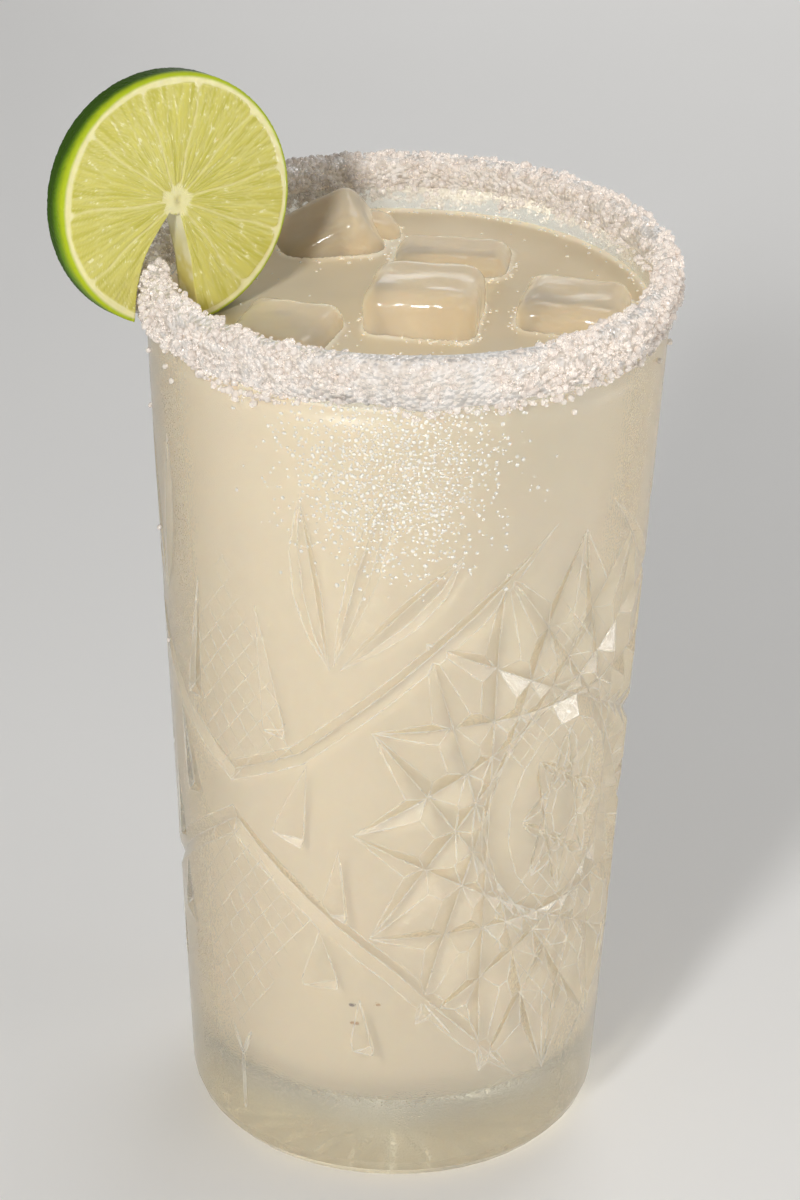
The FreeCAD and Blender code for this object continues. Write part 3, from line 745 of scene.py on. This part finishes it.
def limeMesh():
    radius, thick, edge = lime["radius"], lime["thickness"], lime["edge"]
    openColumns, gapColumns = lime["openColumns"], lime["gapColumns"]
    profile, half, rindLength = wheelProfile()
    hub = profile[0][0]
    shares = np.linspace(0, 1, openColumns + 1)
    spots, faces, rows = [], [], []
    for r, y in profile:
        right, left = slitTurns(r)
        rows.append(range(len(spots), len(spots) + openColumns + 1))
        spots += [(r, right + (left - right) * t, y) for t in shares]

    # The uncut hub: closed rings round the middle, front and back
    right, left = slitTurns(hub)
    gapTurns = [left + (right + 2 * math.pi - left) * k / gapColumns for k in range(1, gapColumns)]
    hubTurns = [right + (left - right) * t for t in shares] + gapTurns
    hubs = []
    for y, outer in ((0.0, rows[0]), (thick, rows[-1])):
        extra = list(range(len(spots), len(spots) + gapColumns - 1))
        spots += [(hub, turn, y) for turn in gapTurns]
        rings = [list(outer) + extra]
        for share in lime["hubRings"]:
            rings.append(list(range(len(spots), len(spots) + len(hubTurns))))
            spots += [(share * hub, turn, y) for turn in hubTurns]
        spots.append((0.0, 0.0, y))
        hubs.append((rings, len(spots) - 1, extra))
    for one, two in zip(rows, rows[1:]):
        faces += [(one[k], two[k], two[k + 1], one[k + 1]) for k in range(openColumns)]
    for flip, (rings, middle, _) in enumerate(hubs):
        hubFaces = []
        for one, two in zip(rings, rings[1:]):
            for k in range(len(one)):
                after = (k + 1) % len(one)
                hubFaces.append((one[k], one[after], two[after], two[k]))
        last = rings[-1]
        hubFaces += [(last[k], last[(k + 1) % len(last)], middle) for k in range(len(last))]
        faces += [face[::-1] for face in hubFaces] if flip else hubFaces

    # Relief of the flesh on both faces and pores on the rind
    spots = np.array(spots)
    r, turn, y = spots.T
    isFront, isBack = y < 0.5 * edge, y > thick - 0.5 * edge
    frontHeight, frontMasks = cutFace(r, turn, 0.0)
    backHeight, backMasks = cutFace(r, lime["backTurn"] - turn, lime["backSeed"])
    masks = {key: np.where(isFront, frontMasks[key], np.where(isBack, backMasks[key], 0)) for key in frontMasks}
    masks.update(outward=r / radius, depth=y / thick, cutWall=np.zeros(len(spots)))
    pores = np.stack([turn, y, r], 1) * lime["poreStretch"]
    pore = np.array([noise.noise(Vector(spot)) for spot in pores])
    y = y - np.where(isFront, frontHeight, 0) + np.where(isBack, backHeight, 0)
    r = r + np.where(isFront | isBack, 0, lime["poreRelief"] * pore)
    points = list(map(tuple, np.stack([r * np.cos(turn), y, r * np.sin(turn)], 1)))

    # Walls of the slit: down the left edge, round the hub, out along the right edge
    frontRows, backRows = range(half), range(len(profile) - 1, half + rindLength - 1, -1)
    frontPath, backPath = [
        [rows[j][openColumns] for j in reversed(path)] + extra + [rows[j][0] for j in path]
        for path, (_, _, extra) in zip((frontRows, backRows), hubs)]
    rindRows = rows[half:half + rindLength]
    steps = rindLength - 1
    columns = [[row[openColumns] for row in rindRows]]
    wallMasks = {key: [] for key in masks}
    for a, b in zip(frontPath, backPath):
        column = [a]
        for k in range(1, steps):
            place = Vector(points[a]).lerp(Vector(points[b]), k / steps)
            column.append(len(points))
            points.append(tuple(place))
            here = {"pulp": 0, "sac": 0.5, "shade": 0.5, "outward": math.hypot(place.x, place.z) / radius,
                    "depth": k / steps, "cutWall": 1}
            for key, value in here.items():
                wallMasks[key].append(value)
        columns.append(column + [b])
    columns.append([row[0] for row in rindRows])
    for one, two in zip(columns, columns[1:]):
        faces += [(one[k], two[k], two[k + 1], one[k + 1]) for k in range(steps)]

    mesh = meshOf("limeWheel", points, faces)
    for key, values in masks.items():
        addMask(mesh, key, np.concatenate([values, wallMasks[key]]))
    made = bmesh.new()
    made.from_mesh(mesh)
    bmesh.ops.recalc_face_normals(made, faces=made.faces)
    made.to_mesh(mesh)
    made.free()
    return mesh


def limeMaterial():
    look = lime["finish"]
    material, tree = newMaterial("limeFlesh")
    spot = objectPlace(tree)
    pulp, sac, shade, outward, depth, cutWall = [
        attribute(tree, name) for name in ("pulp", "sac", "shade", "outward", "depth", "cutWall")]
    fine = patches(tree, spot, **look["fine"])[0]
    # Flesh: yellow green sacs with paler skins between them, and painted highlights in short pale streaks on the
    # skins
    sacs = mixColour(tree, shade, look["sacDark"], look["sacPale"])
    skins = mixColour(tree, sac, look["sacSkin"], sacs)
    streak = calc(tree, "MULTIPLY", patches(tree, spot, **look["paintedGlints"])[1],
                  smoothMask(tree, sac, *look["paintedGlintFade"]))
    flesh = mixColour(tree, streak, skins, look["paintedGlint"])
    # Between the segments the thin skins are only a little paler than the flesh
    pith = mixColour(tree, fine, look["pithDark"], look["pithPale"])
    thick = calc(tree, "MAXIMUM", smoothMask(tree, outward, *look["pithFrom"]),
                 smoothMask(tree, outward, *look["coreUpTo"]))
    face = mixColour(tree, pulp, mixColour(tree, thick, look["membrane"], pith), flesh)
    # Rind: yellow green beside the front face, deeper green behind it and most of all near the top
    blotch = patches(tree, spot, **look["blotches"])[0]
    byDepth, byBlotch = look["rindShares"]
    mottled = calc(tree, "ADD", calc(tree, "MULTIPLY", depth, byDepth), calc(tree, "MULTIPLY", blotch, byBlotch))
    z = addNode(tree, "ShaderNodeSeparateXYZ", {0: spot}).outputs[2]
    raised = calc(tree, "MULTIPLY", calc(tree, "SUBTRACT", z, rimTop), look["rindTopRise"])
    rind = mixColour(tree, smoothMask(tree, mottled, *look["rindFade"]), look["rindFront"], look["rind"])
    rind = mixColour(tree, smoothMask(tree, calc(tree, "ADD", mottled, raised), *look["rindTopFade"]),
                     rind, look["rindTop"])
    outer = smoothMask(tree, outward, *look["rindFrom"])
    # Walls of the slit
    streaks = patches(tree, spot, **look["slitStreaks"])[1]
    wall = mixColour(tree, smoothMask(tree, outward, *look["slitFade"]), look["slitCore"], look["slitFlesh"])
    wall = mixColour(tree, streaks, wall, look["slitStreak"])
    wall = mixColour(tree, smoothMask(tree, outward, *look["slitPithFrom"]), wall, look["slitPith"])
    colour = mixColour(tree, outer, mixColour(tree, cutWall, face, wall), rind)

    wet = smoothMask(tree, calc(tree, "MULTIPLY", pulp, sac), *look["wetness"])
    gloss = calc(tree, "ADD", wet, calc(tree, "MULTIPLY", outer, look["rindRoughness"]))
    pores = addNode(tree, "ShaderNodeTexVoronoi", {"Vector": spot, "Scale": look["poreScale"]})
    pore = calc(tree, "MULTIPLY", smoothMask(tree, pores.outputs["Distance"], *look["poreFade"]), outer)
    rough = calc(tree, "ADD", pore, calc(tree, "MULTIPLY", fine, look["fineShare"]))
    relief = bump(tree, rough, *look["relief"])
    surface(tree, addNode(tree, "ShaderNodeBsdfPrincipled", {
        "Base Color": colour, "Roughness": gloss, "IOR": 1.4, "Specular IOR Level": look["specular"],
        "Subsurface Weight": smoothMask(tree, outer, 0.0, 1.0, look["softFlesh"], look["softRind"]),
        "Subsurface Radius": look["softReach"], "Subsurface Scale": look["softDepth"],
        "Coat Weight": smoothMask(tree, outer, 0.0, 1.0, look["coat"], 0.0),
        "Coat Roughness": look["coatRoughness"], "Normal": relief.outputs[0]}))
    return material


def limePlace():
    turn = Matrix.Rotation(math.radians(lime["yaw"]), 4, "Z") @ Matrix.Rotation(-math.radians(lime["lean"]), 4, "X")
    low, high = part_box("lime_wheel")
    middle = (low + high) / 2
    half = turn @ Vector((0, 0.5 * lime["thickness"], 0))
    place = Vector((middle.x - half.x, middle.y - half.y, rimTop + lime["aboveRim"]))
    return Matrix.Translation(place) @ turn


limePiece = newPiece("limeWheel", limeMesh(), limeMaterial())
limePiece.data.transform(limePlace())
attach(limePiece, "root")
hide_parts("lime_wheel")
print("lime wheel done:", len(limePiece.data.polygons), "faces")


# Salt

salt = {
    "seed": 7,
    "kinds": {
        "saltCoarse": {"count": 1500, "small": 0.42 * mm, "large": 0.68 * mm, "rounded": True},
        "saltMedium": {"count": 3300, "small": 0.27 * mm, "large": 0.44 * mm, "rounded": False},
        "saltFine": {"count": 2600, "small": 0.14 * mm, "large": 0.28 * mm, "rounded": False},
    },
    "shapes": 8, "cube": 1.7, "chamfer": 0.5, "roundness": 3.4, "stretch": (0.78, 1.12), "unevenness": 0.05,
    "sizeSpread": (1.5, 1.8), "sink": 0.12 * mm, "jitter": 0.15 * mm, "thinSink": 0.42 * mm, "clearOfWall": 0.12 * mm,
    "thinAngle": 4.0, "thinWide": 30.0, "thinLoss": 0.12, "clumping": 0.7, "clumpScale": 230,
    "spareSpots": 5,
    "wallSplit": 40 * mm, "edgeStep": 3.0, "edgeReach": 2.6,
    "fringe": 0.22, "fringeOut": 2.4 * mm, "fringeIn": 2.0 * mm, "fringeOutside": 0.6,
    "fringeScale": 9, "fringeShift": 3.0, "fringeBase": 0.35, "fringeRise": 0.4,
    # Single smaller grains stuck to the wall, as (angle, height in mm)
    "straySize": 0.8, "strayLift": 0.6,
    "strays": [(-78, 141.5), (-85, 129.6), (-79, 109.8), (-76, 90.2), (-64, 143.2), (-61, 141.6), (71, 143.8),
               (96, 140.6), (84, 142.9), (-34, 144.6), (38, 143.7)],
    "coreShrink": 0.6 * mm, "coreThin": 0.4 * mm,
    "finish": {
        "grains": {"colour": (0.86, 0.80, 0.75, 1), "clearness": 0.5, "roughness": (0.3, 0.7, 0.08, 0.3),
                   "relief": 0.12},
        "packed": {"colour": (0.80, 0.73, 0.655, 1), "clearness": 0.3, "roughness": (0.3, 0.7, 0.3, 0.5),
                   "relief": 1.0},
        "mottling": {"scale": 600.0, "low": 0.35, "high": 0.65}, "pale": (0.93, 0.885, 0.84, 1),
        "crystalScale": 1250.0, "crystalDepth": 0.5 * mm, "shadow": (0.9, 0.885, 0.87, 1),
    },
}


def saltMaterial(name, kind):
    look = salt["finish"]
    own = look[kind]
    material, tree = newMaterial(name)
    spot = objectPlace(tree)
    vary, pale = patches(tree, spot, **look["mottling"])
    crystals = addNode(tree, "ShaderNodeTexVoronoi", {"Vector": spot, "Scale": look["crystalScale"]})
    relief = bump(tree, crystals.outputs["Distance"], own["relief"], look["crystalDepth"])
    relief.invert = True
    shader = addNode(tree, "ShaderNodeBsdfPrincipled", {
        "Base Color": mixColour(tree, pale, own["colour"], look["pale"]),
        "Roughness": smoothMask(tree, vary, *own["roughness"]), "IOR": 1.45,
        "Transmission Weight": own["clearness"], "Normal": relief.outputs[0]})
    lightThrough(tree, shader, look["shadow"])
    return material


def grainShapes(rng, rounded):
    # Worn salt crystals: lumpy rounded cubes, or small cubes with chamfered edges
    shapes = []
    for _ in range(salt["shapes"]):
        made = bmesh.new()
        if rounded:
            bmesh.ops.create_icosphere(made, subdivisions=2, radius=1)
        else:
            bmesh.ops.create_cube(made, size=salt["cube"])
            bmesh.ops.bevel(made, geom=list(made.edges), offset=salt["chamfer"], segments=1, affect="EDGES")
        points = np.array([v.co for v in made.verts])
        if rounded:
            power = salt["roundness"]
            points /= (np.abs(points) ** power).sum(1, keepdims=True) ** (1 / power)
        made.verts.ensure_lookup_table()
        faces = [tuple(v.index for v in f.verts) for f in made.faces]
        points *= rng.uniform(*salt["stretch"], 3)
        points += rng.normal(0, salt["unevenness"], points.shape)
        shapes.append((points, faces))
        made.free()
    return shapes


saltPoints = np.array([v.co for v in nodes["salt_rim"].data.vertices])


def saltEdge(outside):
    # Angles round the glass, and the height of the salt's lower edge there on one side of the wall
    radius = np.hypot(saltPoints[:, 0], saltPoints[:, 1])
    turns = angleOf(saltPoints[:, 0], saltPoints[:, 1])
    side = radius > salt["wallSplit"] if outside else radius < salt["wallSplit"]
    centres = np.arange(-180, 181, salt["edgeStep"])
    return centres, np.array([saltPoints[side & (angleApart(turns, centre) < salt["edgeReach"]), 2].min()
                              for centre in centres])


def thinness(angle):
    # 1 where the salt is a single layer, at the front
    return max(0.0, 1 - (angleApart(angle, salt["thinAngle"]) / salt["thinWide"]) ** 2)


def saltSpots(rng, count):
    # Random places on the salt's own uneven surface, leaving out the side against the glass
    mesh = nodes["salt_rim"].data
    mesh.calc_loop_triangles()
    triangles = saltPoints[np.array([t.vertices for t in mesh.loop_triangles])]
    a, b, c = triangles[:, 0], triangles[:, 1], triangles[:, 2]
    cross = np.cross(b - a, c - a)
    area = np.linalg.norm(cross, axis=1)
    drawn = salt["spareSpots"] * count
    picked = rng.choice(len(area), drawn, p=area / area.sum())
    u, v = rng.uniform(0, 1, (2, drawn))
    u, v = np.where(u + v > 1, 1 - u, u), np.where(u + v > 1, 1 - v, v)
    spots = a[picked] + (b - a)[picked] * u[:, None] + (c - a)[picked] * v[:, None]
    normals = cross[picked] / area[picked][:, None]
    radius, height = np.hypot(spots[:, 0], spots[:, 1]), spots[:, 2]
    outer, inner = [np.interp(height, [z for r, z in outline], [r for r, z in outline])
                    for outline in (outerOutline, innerOutline)]
    free = (radius > outer + salt["clearOfWall"]) | (radius < inner - salt["clearOfWall"])
    free |= height > rimTop + salt["clearOfWall"]
    thin = np.array([thinness(angle) for angle in angleOf(spots[:, 0], spots[:, 1])])
    clump = np.array([noise.noise(Vector(spot) * salt["clumpScale"]) for spot in spots])
    keep = 1 - salt["thinLoss"] * thin + salt["clumping"] * clump
    free &= rng.uniform(0, 1, len(spots)) < keep
    return spots[free][:count], normals[free][:count], thin[free][:count]


def grainPlacements(rng, kind, edges, strays):
    placements = []

    def addGrain(place, size):
        turn = Euler(rng.uniform(0, 6.28, 3)).to_matrix().to_4x4()
        shape = int(rng.integers(salt["shapes"]))
        placements.append((shape, Matrix.Translation(place) @ turn @ Matrix.Scale(size, 4)))

    def anySize():
        return between(kind, rng.beta(*salt["sizeSpread"]))

    hanging = int(salt["fringe"] * kind["count"])
    for spot, normal, thin in zip(*saltSpots(rng, kind["count"] - hanging)):
        size = anySize()
        shift = rng.normal(0, 1) * salt["jitter"] - salt["sink"] - thin * salt["thinSink"]
        addGrain(Vector(spot) + Vector(normal) * shift, size)
    # Loose clumps that hang below the band, outside and inside
    while hanging > 0:
        angle = rng.uniform(-180, 180)
        outside = rng.uniform() < salt["fringeOutside"]
        reach = salt["fringeOut"] if outside else salt["fringeIn"]
        turn = math.radians(angle)
        here = Vector((math.sin(turn), math.cos(turn), salt["fringeShift"] * outside)) * salt["fringeScale"]
        length = noise.noise(here) + salt["fringeBase"]
        drop = rng.uniform(-salt["fringeRise"], 1) * reach
        if drop > reach * length:
            continue
        hanging -= 1
        size = anySize()
        height = float(np.interp(angle, *edges[outside])) - drop
        if outside:
            addGrain(onWall(angle, height, 0.5 * size), size)
        else:
            addGrain(atAngle(radiusAt(innerOutline, height) - 0.5 * size, angle, height), size)
    for angle, height in strays:
        size = salt["straySize"] * anySize()
        addGrain(onWall(angle, height * mm, salt["strayLift"] * size), size)
    return placements


def saltCore():
    # The solid band under the grains, drawn in so that they cover it
    core = newPiece("saltCore", nodes["salt_rim"].data.copy())
    core.modifiers.new("weld", "WELD").merge_threshold = weldDistance
    thinner = core.modifiers.new("thinner", "DISPLACE")
    thinner.strength = -salt["coreShrink"]
    thinner.mid_level = 0.0
    mesh = applyModifiers(core)
    normals = [v.normal.copy() for v in mesh.vertices]
    for v, normal in zip(mesh.vertices, normals):
        v.co -= normal * salt["coreThin"] * thinness(math.degrees(math.atan2(v.co.x, -v.co.y)))
    mesh.materials.clear()
    return core


rng = np.random.default_rng(salt["seed"])
saltFinish = saltMaterial("saltCrystals", "grains")
edges = {outside: saltEdge(outside) for outside in (True, False)}
grainCount = 0
for name, kind in salt["kinds"].items():
    shapes = grainShapes(rng, kind["rounded"])
    strays = salt["strays"] if name == "saltCoarse" else []
    placements = grainPlacements(rng, kind, edges, strays)
    grains = newPiece(name, joinCopies(name, shapes, placements, kind["rounded"]), saltFinish)
    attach(grains, "root")
    grainCount += len(placements)
core = saltCore()
core.data.materials.append(saltMaterial("packedSalt", "packed"))
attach(core, "root")
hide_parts("salt_rim")
print("salt done:", grainCount, "grains")


# Condensation

beads = {
    "count": 1500, "mostTries": 60000, "small": 0.14 * mm, "large": 0.42 * mm, "sizeSpread": (1.2, 2.6),
    "flat": 0.38, "sides": 10,
    "rings": ((0.0, 1.0), (0.5, 0.86), (0.85, 0.5)), "spread": 0.62, "below": 7.5 * mm, "lowest": 112 * mm,
    "neighbours": 700, "colour": (1.0, 0.98, 0.93, 1), "roughness": 0.1, "clearness": 0.55,
    "shadow": (0.97, 0.97, 0.97, 1),
}


def waterMaterial():
    material, tree = newMaterial("coldWater")
    shader = addNode(tree, "ShaderNodeBsdfPrincipled", {
        "Base Color": beads["colour"], "Roughness": beads["roughness"], "IOR": 1.33,
        "Transmission Weight": beads["clearness"]})
    lightThrough(tree, shader, beads["shadow"])
    return material


def beadShape():
    # A low dome from (height, reach) rings, with a flat back
    sides = beads["sides"]
    points, faces = [], []
    for height, reach in beads["rings"]:
        for k in range(sides):
            turn = 2 * math.pi * k / sides
            points.append((reach * math.cos(turn), reach * math.sin(turn), height))
    top = len(points)
    points.append((0, 0, 1.0))
    for k in range(sides):
        after = (k + 1) % sides
        for low in range(0, top - sides, sides):
            faces.append((low + k, low + after, low + sides + after, low + sides + k))
        faces.append((top - sides + k, top - sides + after, top))
    faces.append(tuple(reversed(range(sides))))
    return np.array(points), faces


def beadPlacements(rng):
    placements, taken = [], []
    for _ in range(beads["mostTries"]):
        angle = rng.normal(glassLook["patchAngle"], beads["spread"] * glassLook["patchWide"])
        height = glassLook["patchHeight"] + rng.normal(0, beads["spread"]) * glassLook["patchTall"]
        size = between(beads, rng.beta(*beads["sizeSpread"]))
        if height > rimTop - beads["below"] or height < beads["lowest"]:
            continue
        across = math.radians(angle) * radiusAt(outerOutline, height)
        if any(abs(across - x) < size + reach and abs(height - z) < size + reach
               for x, z, reach in taken[-beads["neighbours"]:]):
            continue
        taken.append((across, height, size))
        place = Matrix.Translation(onWall(angle, height)) @ wallTurn(angle)
        placements.append((0, place @ Matrix.Diagonal((size, size, size * beads["flat"], 1))))
        if len(placements) == beads["count"]:
            break
    return placements


water = waterMaterial()
placements = beadPlacements(rng)
condensation = newPiece("condensation", joinCopies("condensation", [beadShape()], placements, True), water)
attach(condensation, "root")
print("condensation done:", len(placements), "beads")


# Froth on the drink and flecks of fruit

froth = {
    "bubbles": 760, "small": 0.14 * mm, "large": 0.46 * mm, "sizeSpread": (1, 3.2), "flat": 0.8, "sink": 0.1,
    "loose": 0.02, "clearOfWall": 0.2 * mm, "clearOfIce": 0.4,
    "ringWide": 2.0 * mm, "ringUneven": (0.3, 0.7, 150), "backFrom": 95, "ringBack": 0.9, "ringFront": 0.3,
    "nearIce": 1.3 * mm, "byIce": 0.35, "byIceScale": 110,
    "drops": 300, "dropSpread": 38, "dropRise": 2.6 * mm, "dropHeights": (1, 1.6), "dropSizes": (1, 2),
    "dropShare": 0.5, "dropFlat": 0.5,
}


def frothPlacements(rng):
    placements = []
    wall = radiusAt(innerOutline, drinkTop) - froth["clearOfWall"]
    level = drinkTop - drinkLook["meniscus"]
    least, more, ringScale = froth["ringUneven"]
    while len(placements) < froth["bubbles"]:
        angle = rng.uniform(-180, 180)
        radius = wall * math.sqrt(rng.uniform())
        x, y, _ = atAngle(radius, angle, level)
        size = between(froth, rng.beta(*froth["sizeSpread"]))
        apart = min(tree.find_nearest(Vector((x, y, level)))[3] for tree in iceTrees)
        uneven = least + more * noise.noise(Vector((x, y, 0)) * ringScale) ** 2
        ring = wall - radius < froth["ringWide"] * uneven
        often = froth["ringBack"] if abs(angle) > froth["backFrom"] else froth["ringFront"]
        byWall = ring and rng.uniform() < often
        byIce = (0.5 * size < apart < froth["nearIce"] and rng.uniform() < froth["byIce"]
                 + noise.noise(Vector((x, y, 1)) * froth["byIceScale"]))
        if not (byWall or byIce or rng.uniform() < froth["loose"]) or apart < froth["clearOfIce"] * size:
            continue
        place = Matrix.Translation((x, y, surfaceHeight(x, y) - froth["sink"] * size))
        placements.append((0, place @ Matrix.Diagonal((size, size, size * froth["flat"], 1))))
    # Small drops on the inner wall above the drink, at the back
    for _ in range(froth["drops"]):
        angle = 180 + rng.normal(0, froth["dropSpread"])
        height = drinkTop + froth["dropRise"] * rng.beta(*froth["dropHeights"])
        size = froth["dropShare"] * between(froth, rng.beta(*froth["dropSizes"]))
        place = Matrix.Translation(atAngle(radiusAt(innerOutline, height), angle, height))
        inward = wallTurn(angle) @ Matrix.Rotation(math.pi, 4, "X")
        flatten = Matrix.Diagonal((size, size, size * froth["dropFlat"], 1))
        placements.append((0, place @ inward @ flatten))
    return placements


fleck = {
    # Each is (angle, height in mm, size in mm, darkness)
    "places": [(-27.1, 146.9, 0.75, 0.0), (-11.5, 35.9, 0.42, 1.0), (-4.3, 36.4, 0.36, 0.6), (-11.2, 32.3, 0.4, 0.6)],
    "stretch": (1.25, 0.8, 0.35, 1), "lumps": 0.35, "lumpScale": 2600,
    "orange": (0.86, 0.36, 0.03, 1), "yellow": (0.90, 0.58, 0.14, 1), "brown": (0.13, 0.06, 0.02, 1),
    "mottling": 1500.0, "roughness": 0.4,
}


def fleckMesh():
    made = bmesh.new()
    dark = []
    for angle, height, size, darkness in fleck["places"]:
        radius = radiusAt(innerOutline, height * mm) + drinkLook["reach"]
        grown = bmesh.ops.create_icosphere(made, subdivisions=3, radius=size * mm)["verts"]
        middle = atAngle(radius, angle, height * mm)
        flatten = wallTurn(angle) @ Matrix.Diagonal(fleck["stretch"])
        for v in grown:
            v.co = middle + flatten @ (v.co * (1 + fleck["lumps"] * noise.noise(v.co * fleck["lumpScale"])))
        dark += [darkness] * len(grown)
    mesh = bpy.data.meshes.new("fruitFlecks")
    made.to_mesh(mesh)
    made.free()
    shadeSmooth(mesh)
    addMask(mesh, "dark", dark)
    return mesh


def fleckMaterial():
    material, tree = newMaterial("fruitFlecks")
    vary = patches(tree, objectPlace(tree), fleck["mottling"])[0]
    fresh = mixColour(tree, vary, fleck["orange"], fleck["yellow"])
    colour = mixColour(tree, attribute(tree, "dark"), fresh, fleck["brown"])
    surface(tree, addNode(tree, "ShaderNodeBsdfPrincipled", {
        "Base Color": colour, "Roughness": fleck["roughness"], "IOR": 1.4}))
    return material


bubbles = newPiece("froth", joinCopies("froth", [beadShape()], frothPlacements(rng), True), water)
flecks = newPiece("fruitFlecks", fleckMesh(), fleckMaterial())
for piece in (bubbles, flecks):
    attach(piece, "root")
print("froth done:", len(bubbles.data.polygons), "faces")


# Floor, lamps and camera

stage = {
    "floorSize": 6.0, "floorColour": (0.83, 0.82, 0.80, 1), "floorPale": (0.86, 0.85, 0.83, 1),
    "floorPatches": {"scale": 9.0, "detail": 3.0}, "floorRoughness": 0.6,
    "horizonColour": (0.86, 0.855, 0.845, 1), "zenithColour": (0.30, 0.30, 0.30, 1),
    "skyFade": (0.05, 0.75), "skyStrength": 0.56,
    # Each lamp is (name, place, size, power)
    "lamps": [
        ("key", (-0.30, -0.74, 0.56), 0.12, 4.9),
        ("fill", (0.72, -0.38, 0.36), 0.40, 0.65),
        ("back", (0.20, 0.44, 0.86), 0.45, 1.7),
        ("lowBack", (0.12, 0.85, 0.17), 0.50, 0.8),
        ("rightStrip", (0.62, -0.06, 0.16), 0.20, 0.8),
    ],
    "lampAim": (0, 0, 0.09),
    "cameraPlace": (0, -0.6409, 0.42852), "cameraAim": (-0.000294, 0, 0.093514), "cameraRoll": 0.021,
    "lens": 132, "sensorHeight": 36,
}


def makeFloor():
    half = stage["floorSize"] / 2
    corners = [(-half, -half, 0), (half, -half, 0), (half, half, 0), (-half, half, 0)]
    material, tree = newMaterial("paleFloor")
    cloud = patches(tree, objectPlace(tree), **stage["floorPatches"])[0]
    colour = mixColour(tree, cloud, stage["floorColour"], stage["floorPale"])
    surface(tree, addNode(tree, "ShaderNodeBsdfPrincipled", {
        "Base Color": colour, "Roughness": stage["floorRoughness"]}))
    floor = newPiece("floor", meshOf("floor", corners, [(0, 1, 2, 3)]), material)


def makeWorld():
    world = bpy.data.worlds.new("studio")
    world.use_nodes = True
    tree = world.node_tree
    tree.nodes.clear()
    # Pale at the horizon and darker overhead, so that clear glass has something to show
    direction = addNode(tree, "ShaderNodeTexCoord").outputs["Generated"]
    upward = addNode(tree, "ShaderNodeSeparateXYZ", {0: direction}).outputs[2]
    sky = mixColour(tree, smoothMask(tree, upward, *stage["skyFade"]), stage["horizonColour"], stage["zenithColour"])
    background = addNode(tree, "ShaderNodeBackground", {"Color": sky, "Strength": stage["skyStrength"]})
    addNode(tree, "ShaderNodeOutputWorld", {"Surface": background.outputs[0]})
    bpy.context.scene.world = world


def makeLamps():
    for name, place, size, power in stage["lamps"]:
        lamp = bpy.data.lights.new(name, "AREA")
        lamp.shape = "DISK"
        lamp.size = size
        lamp.energy = power
        aim = Vector(stage["lampAim"]) - Vector(place)
        holder = newPiece(name, lamp)
        holder.matrix_world = Matrix.Translation(place) @ aim.to_track_quat("-Z", "Y").to_matrix().to_4x4()


def makeCamera():
    data = bpy.data.cameras.new("camera")
    data.sensor_fit = "VERTICAL"
    data.sensor_height = stage["sensorHeight"]
    data.lens = stage["lens"]
    data.clip_start = 10 * mm
    look = (Vector(stage["cameraAim"]) - Vector(stage["cameraPlace"])).normalized()
    right = look.cross(Vector((0, 0, 1))).normalized()
    up = right.cross(look)
    cosine, sine = math.cos(stage["cameraRoll"]), math.sin(stage["cameraRoll"])
    turn = Matrix((right * cosine + up * sine, up * cosine - right * sine, -look)).transposed().to_4x4()
    camera = newPiece("camera", data)
    camera.matrix_world = Matrix.Translation(stage["cameraPlace"]) @ turn
    bpy.context.scene.camera = camera


makeFloor()
makeWorld()
makeLamps()
makeCamera()
bpy.context.scene.view_settings.view_transform = "Standard"
print("stage done")
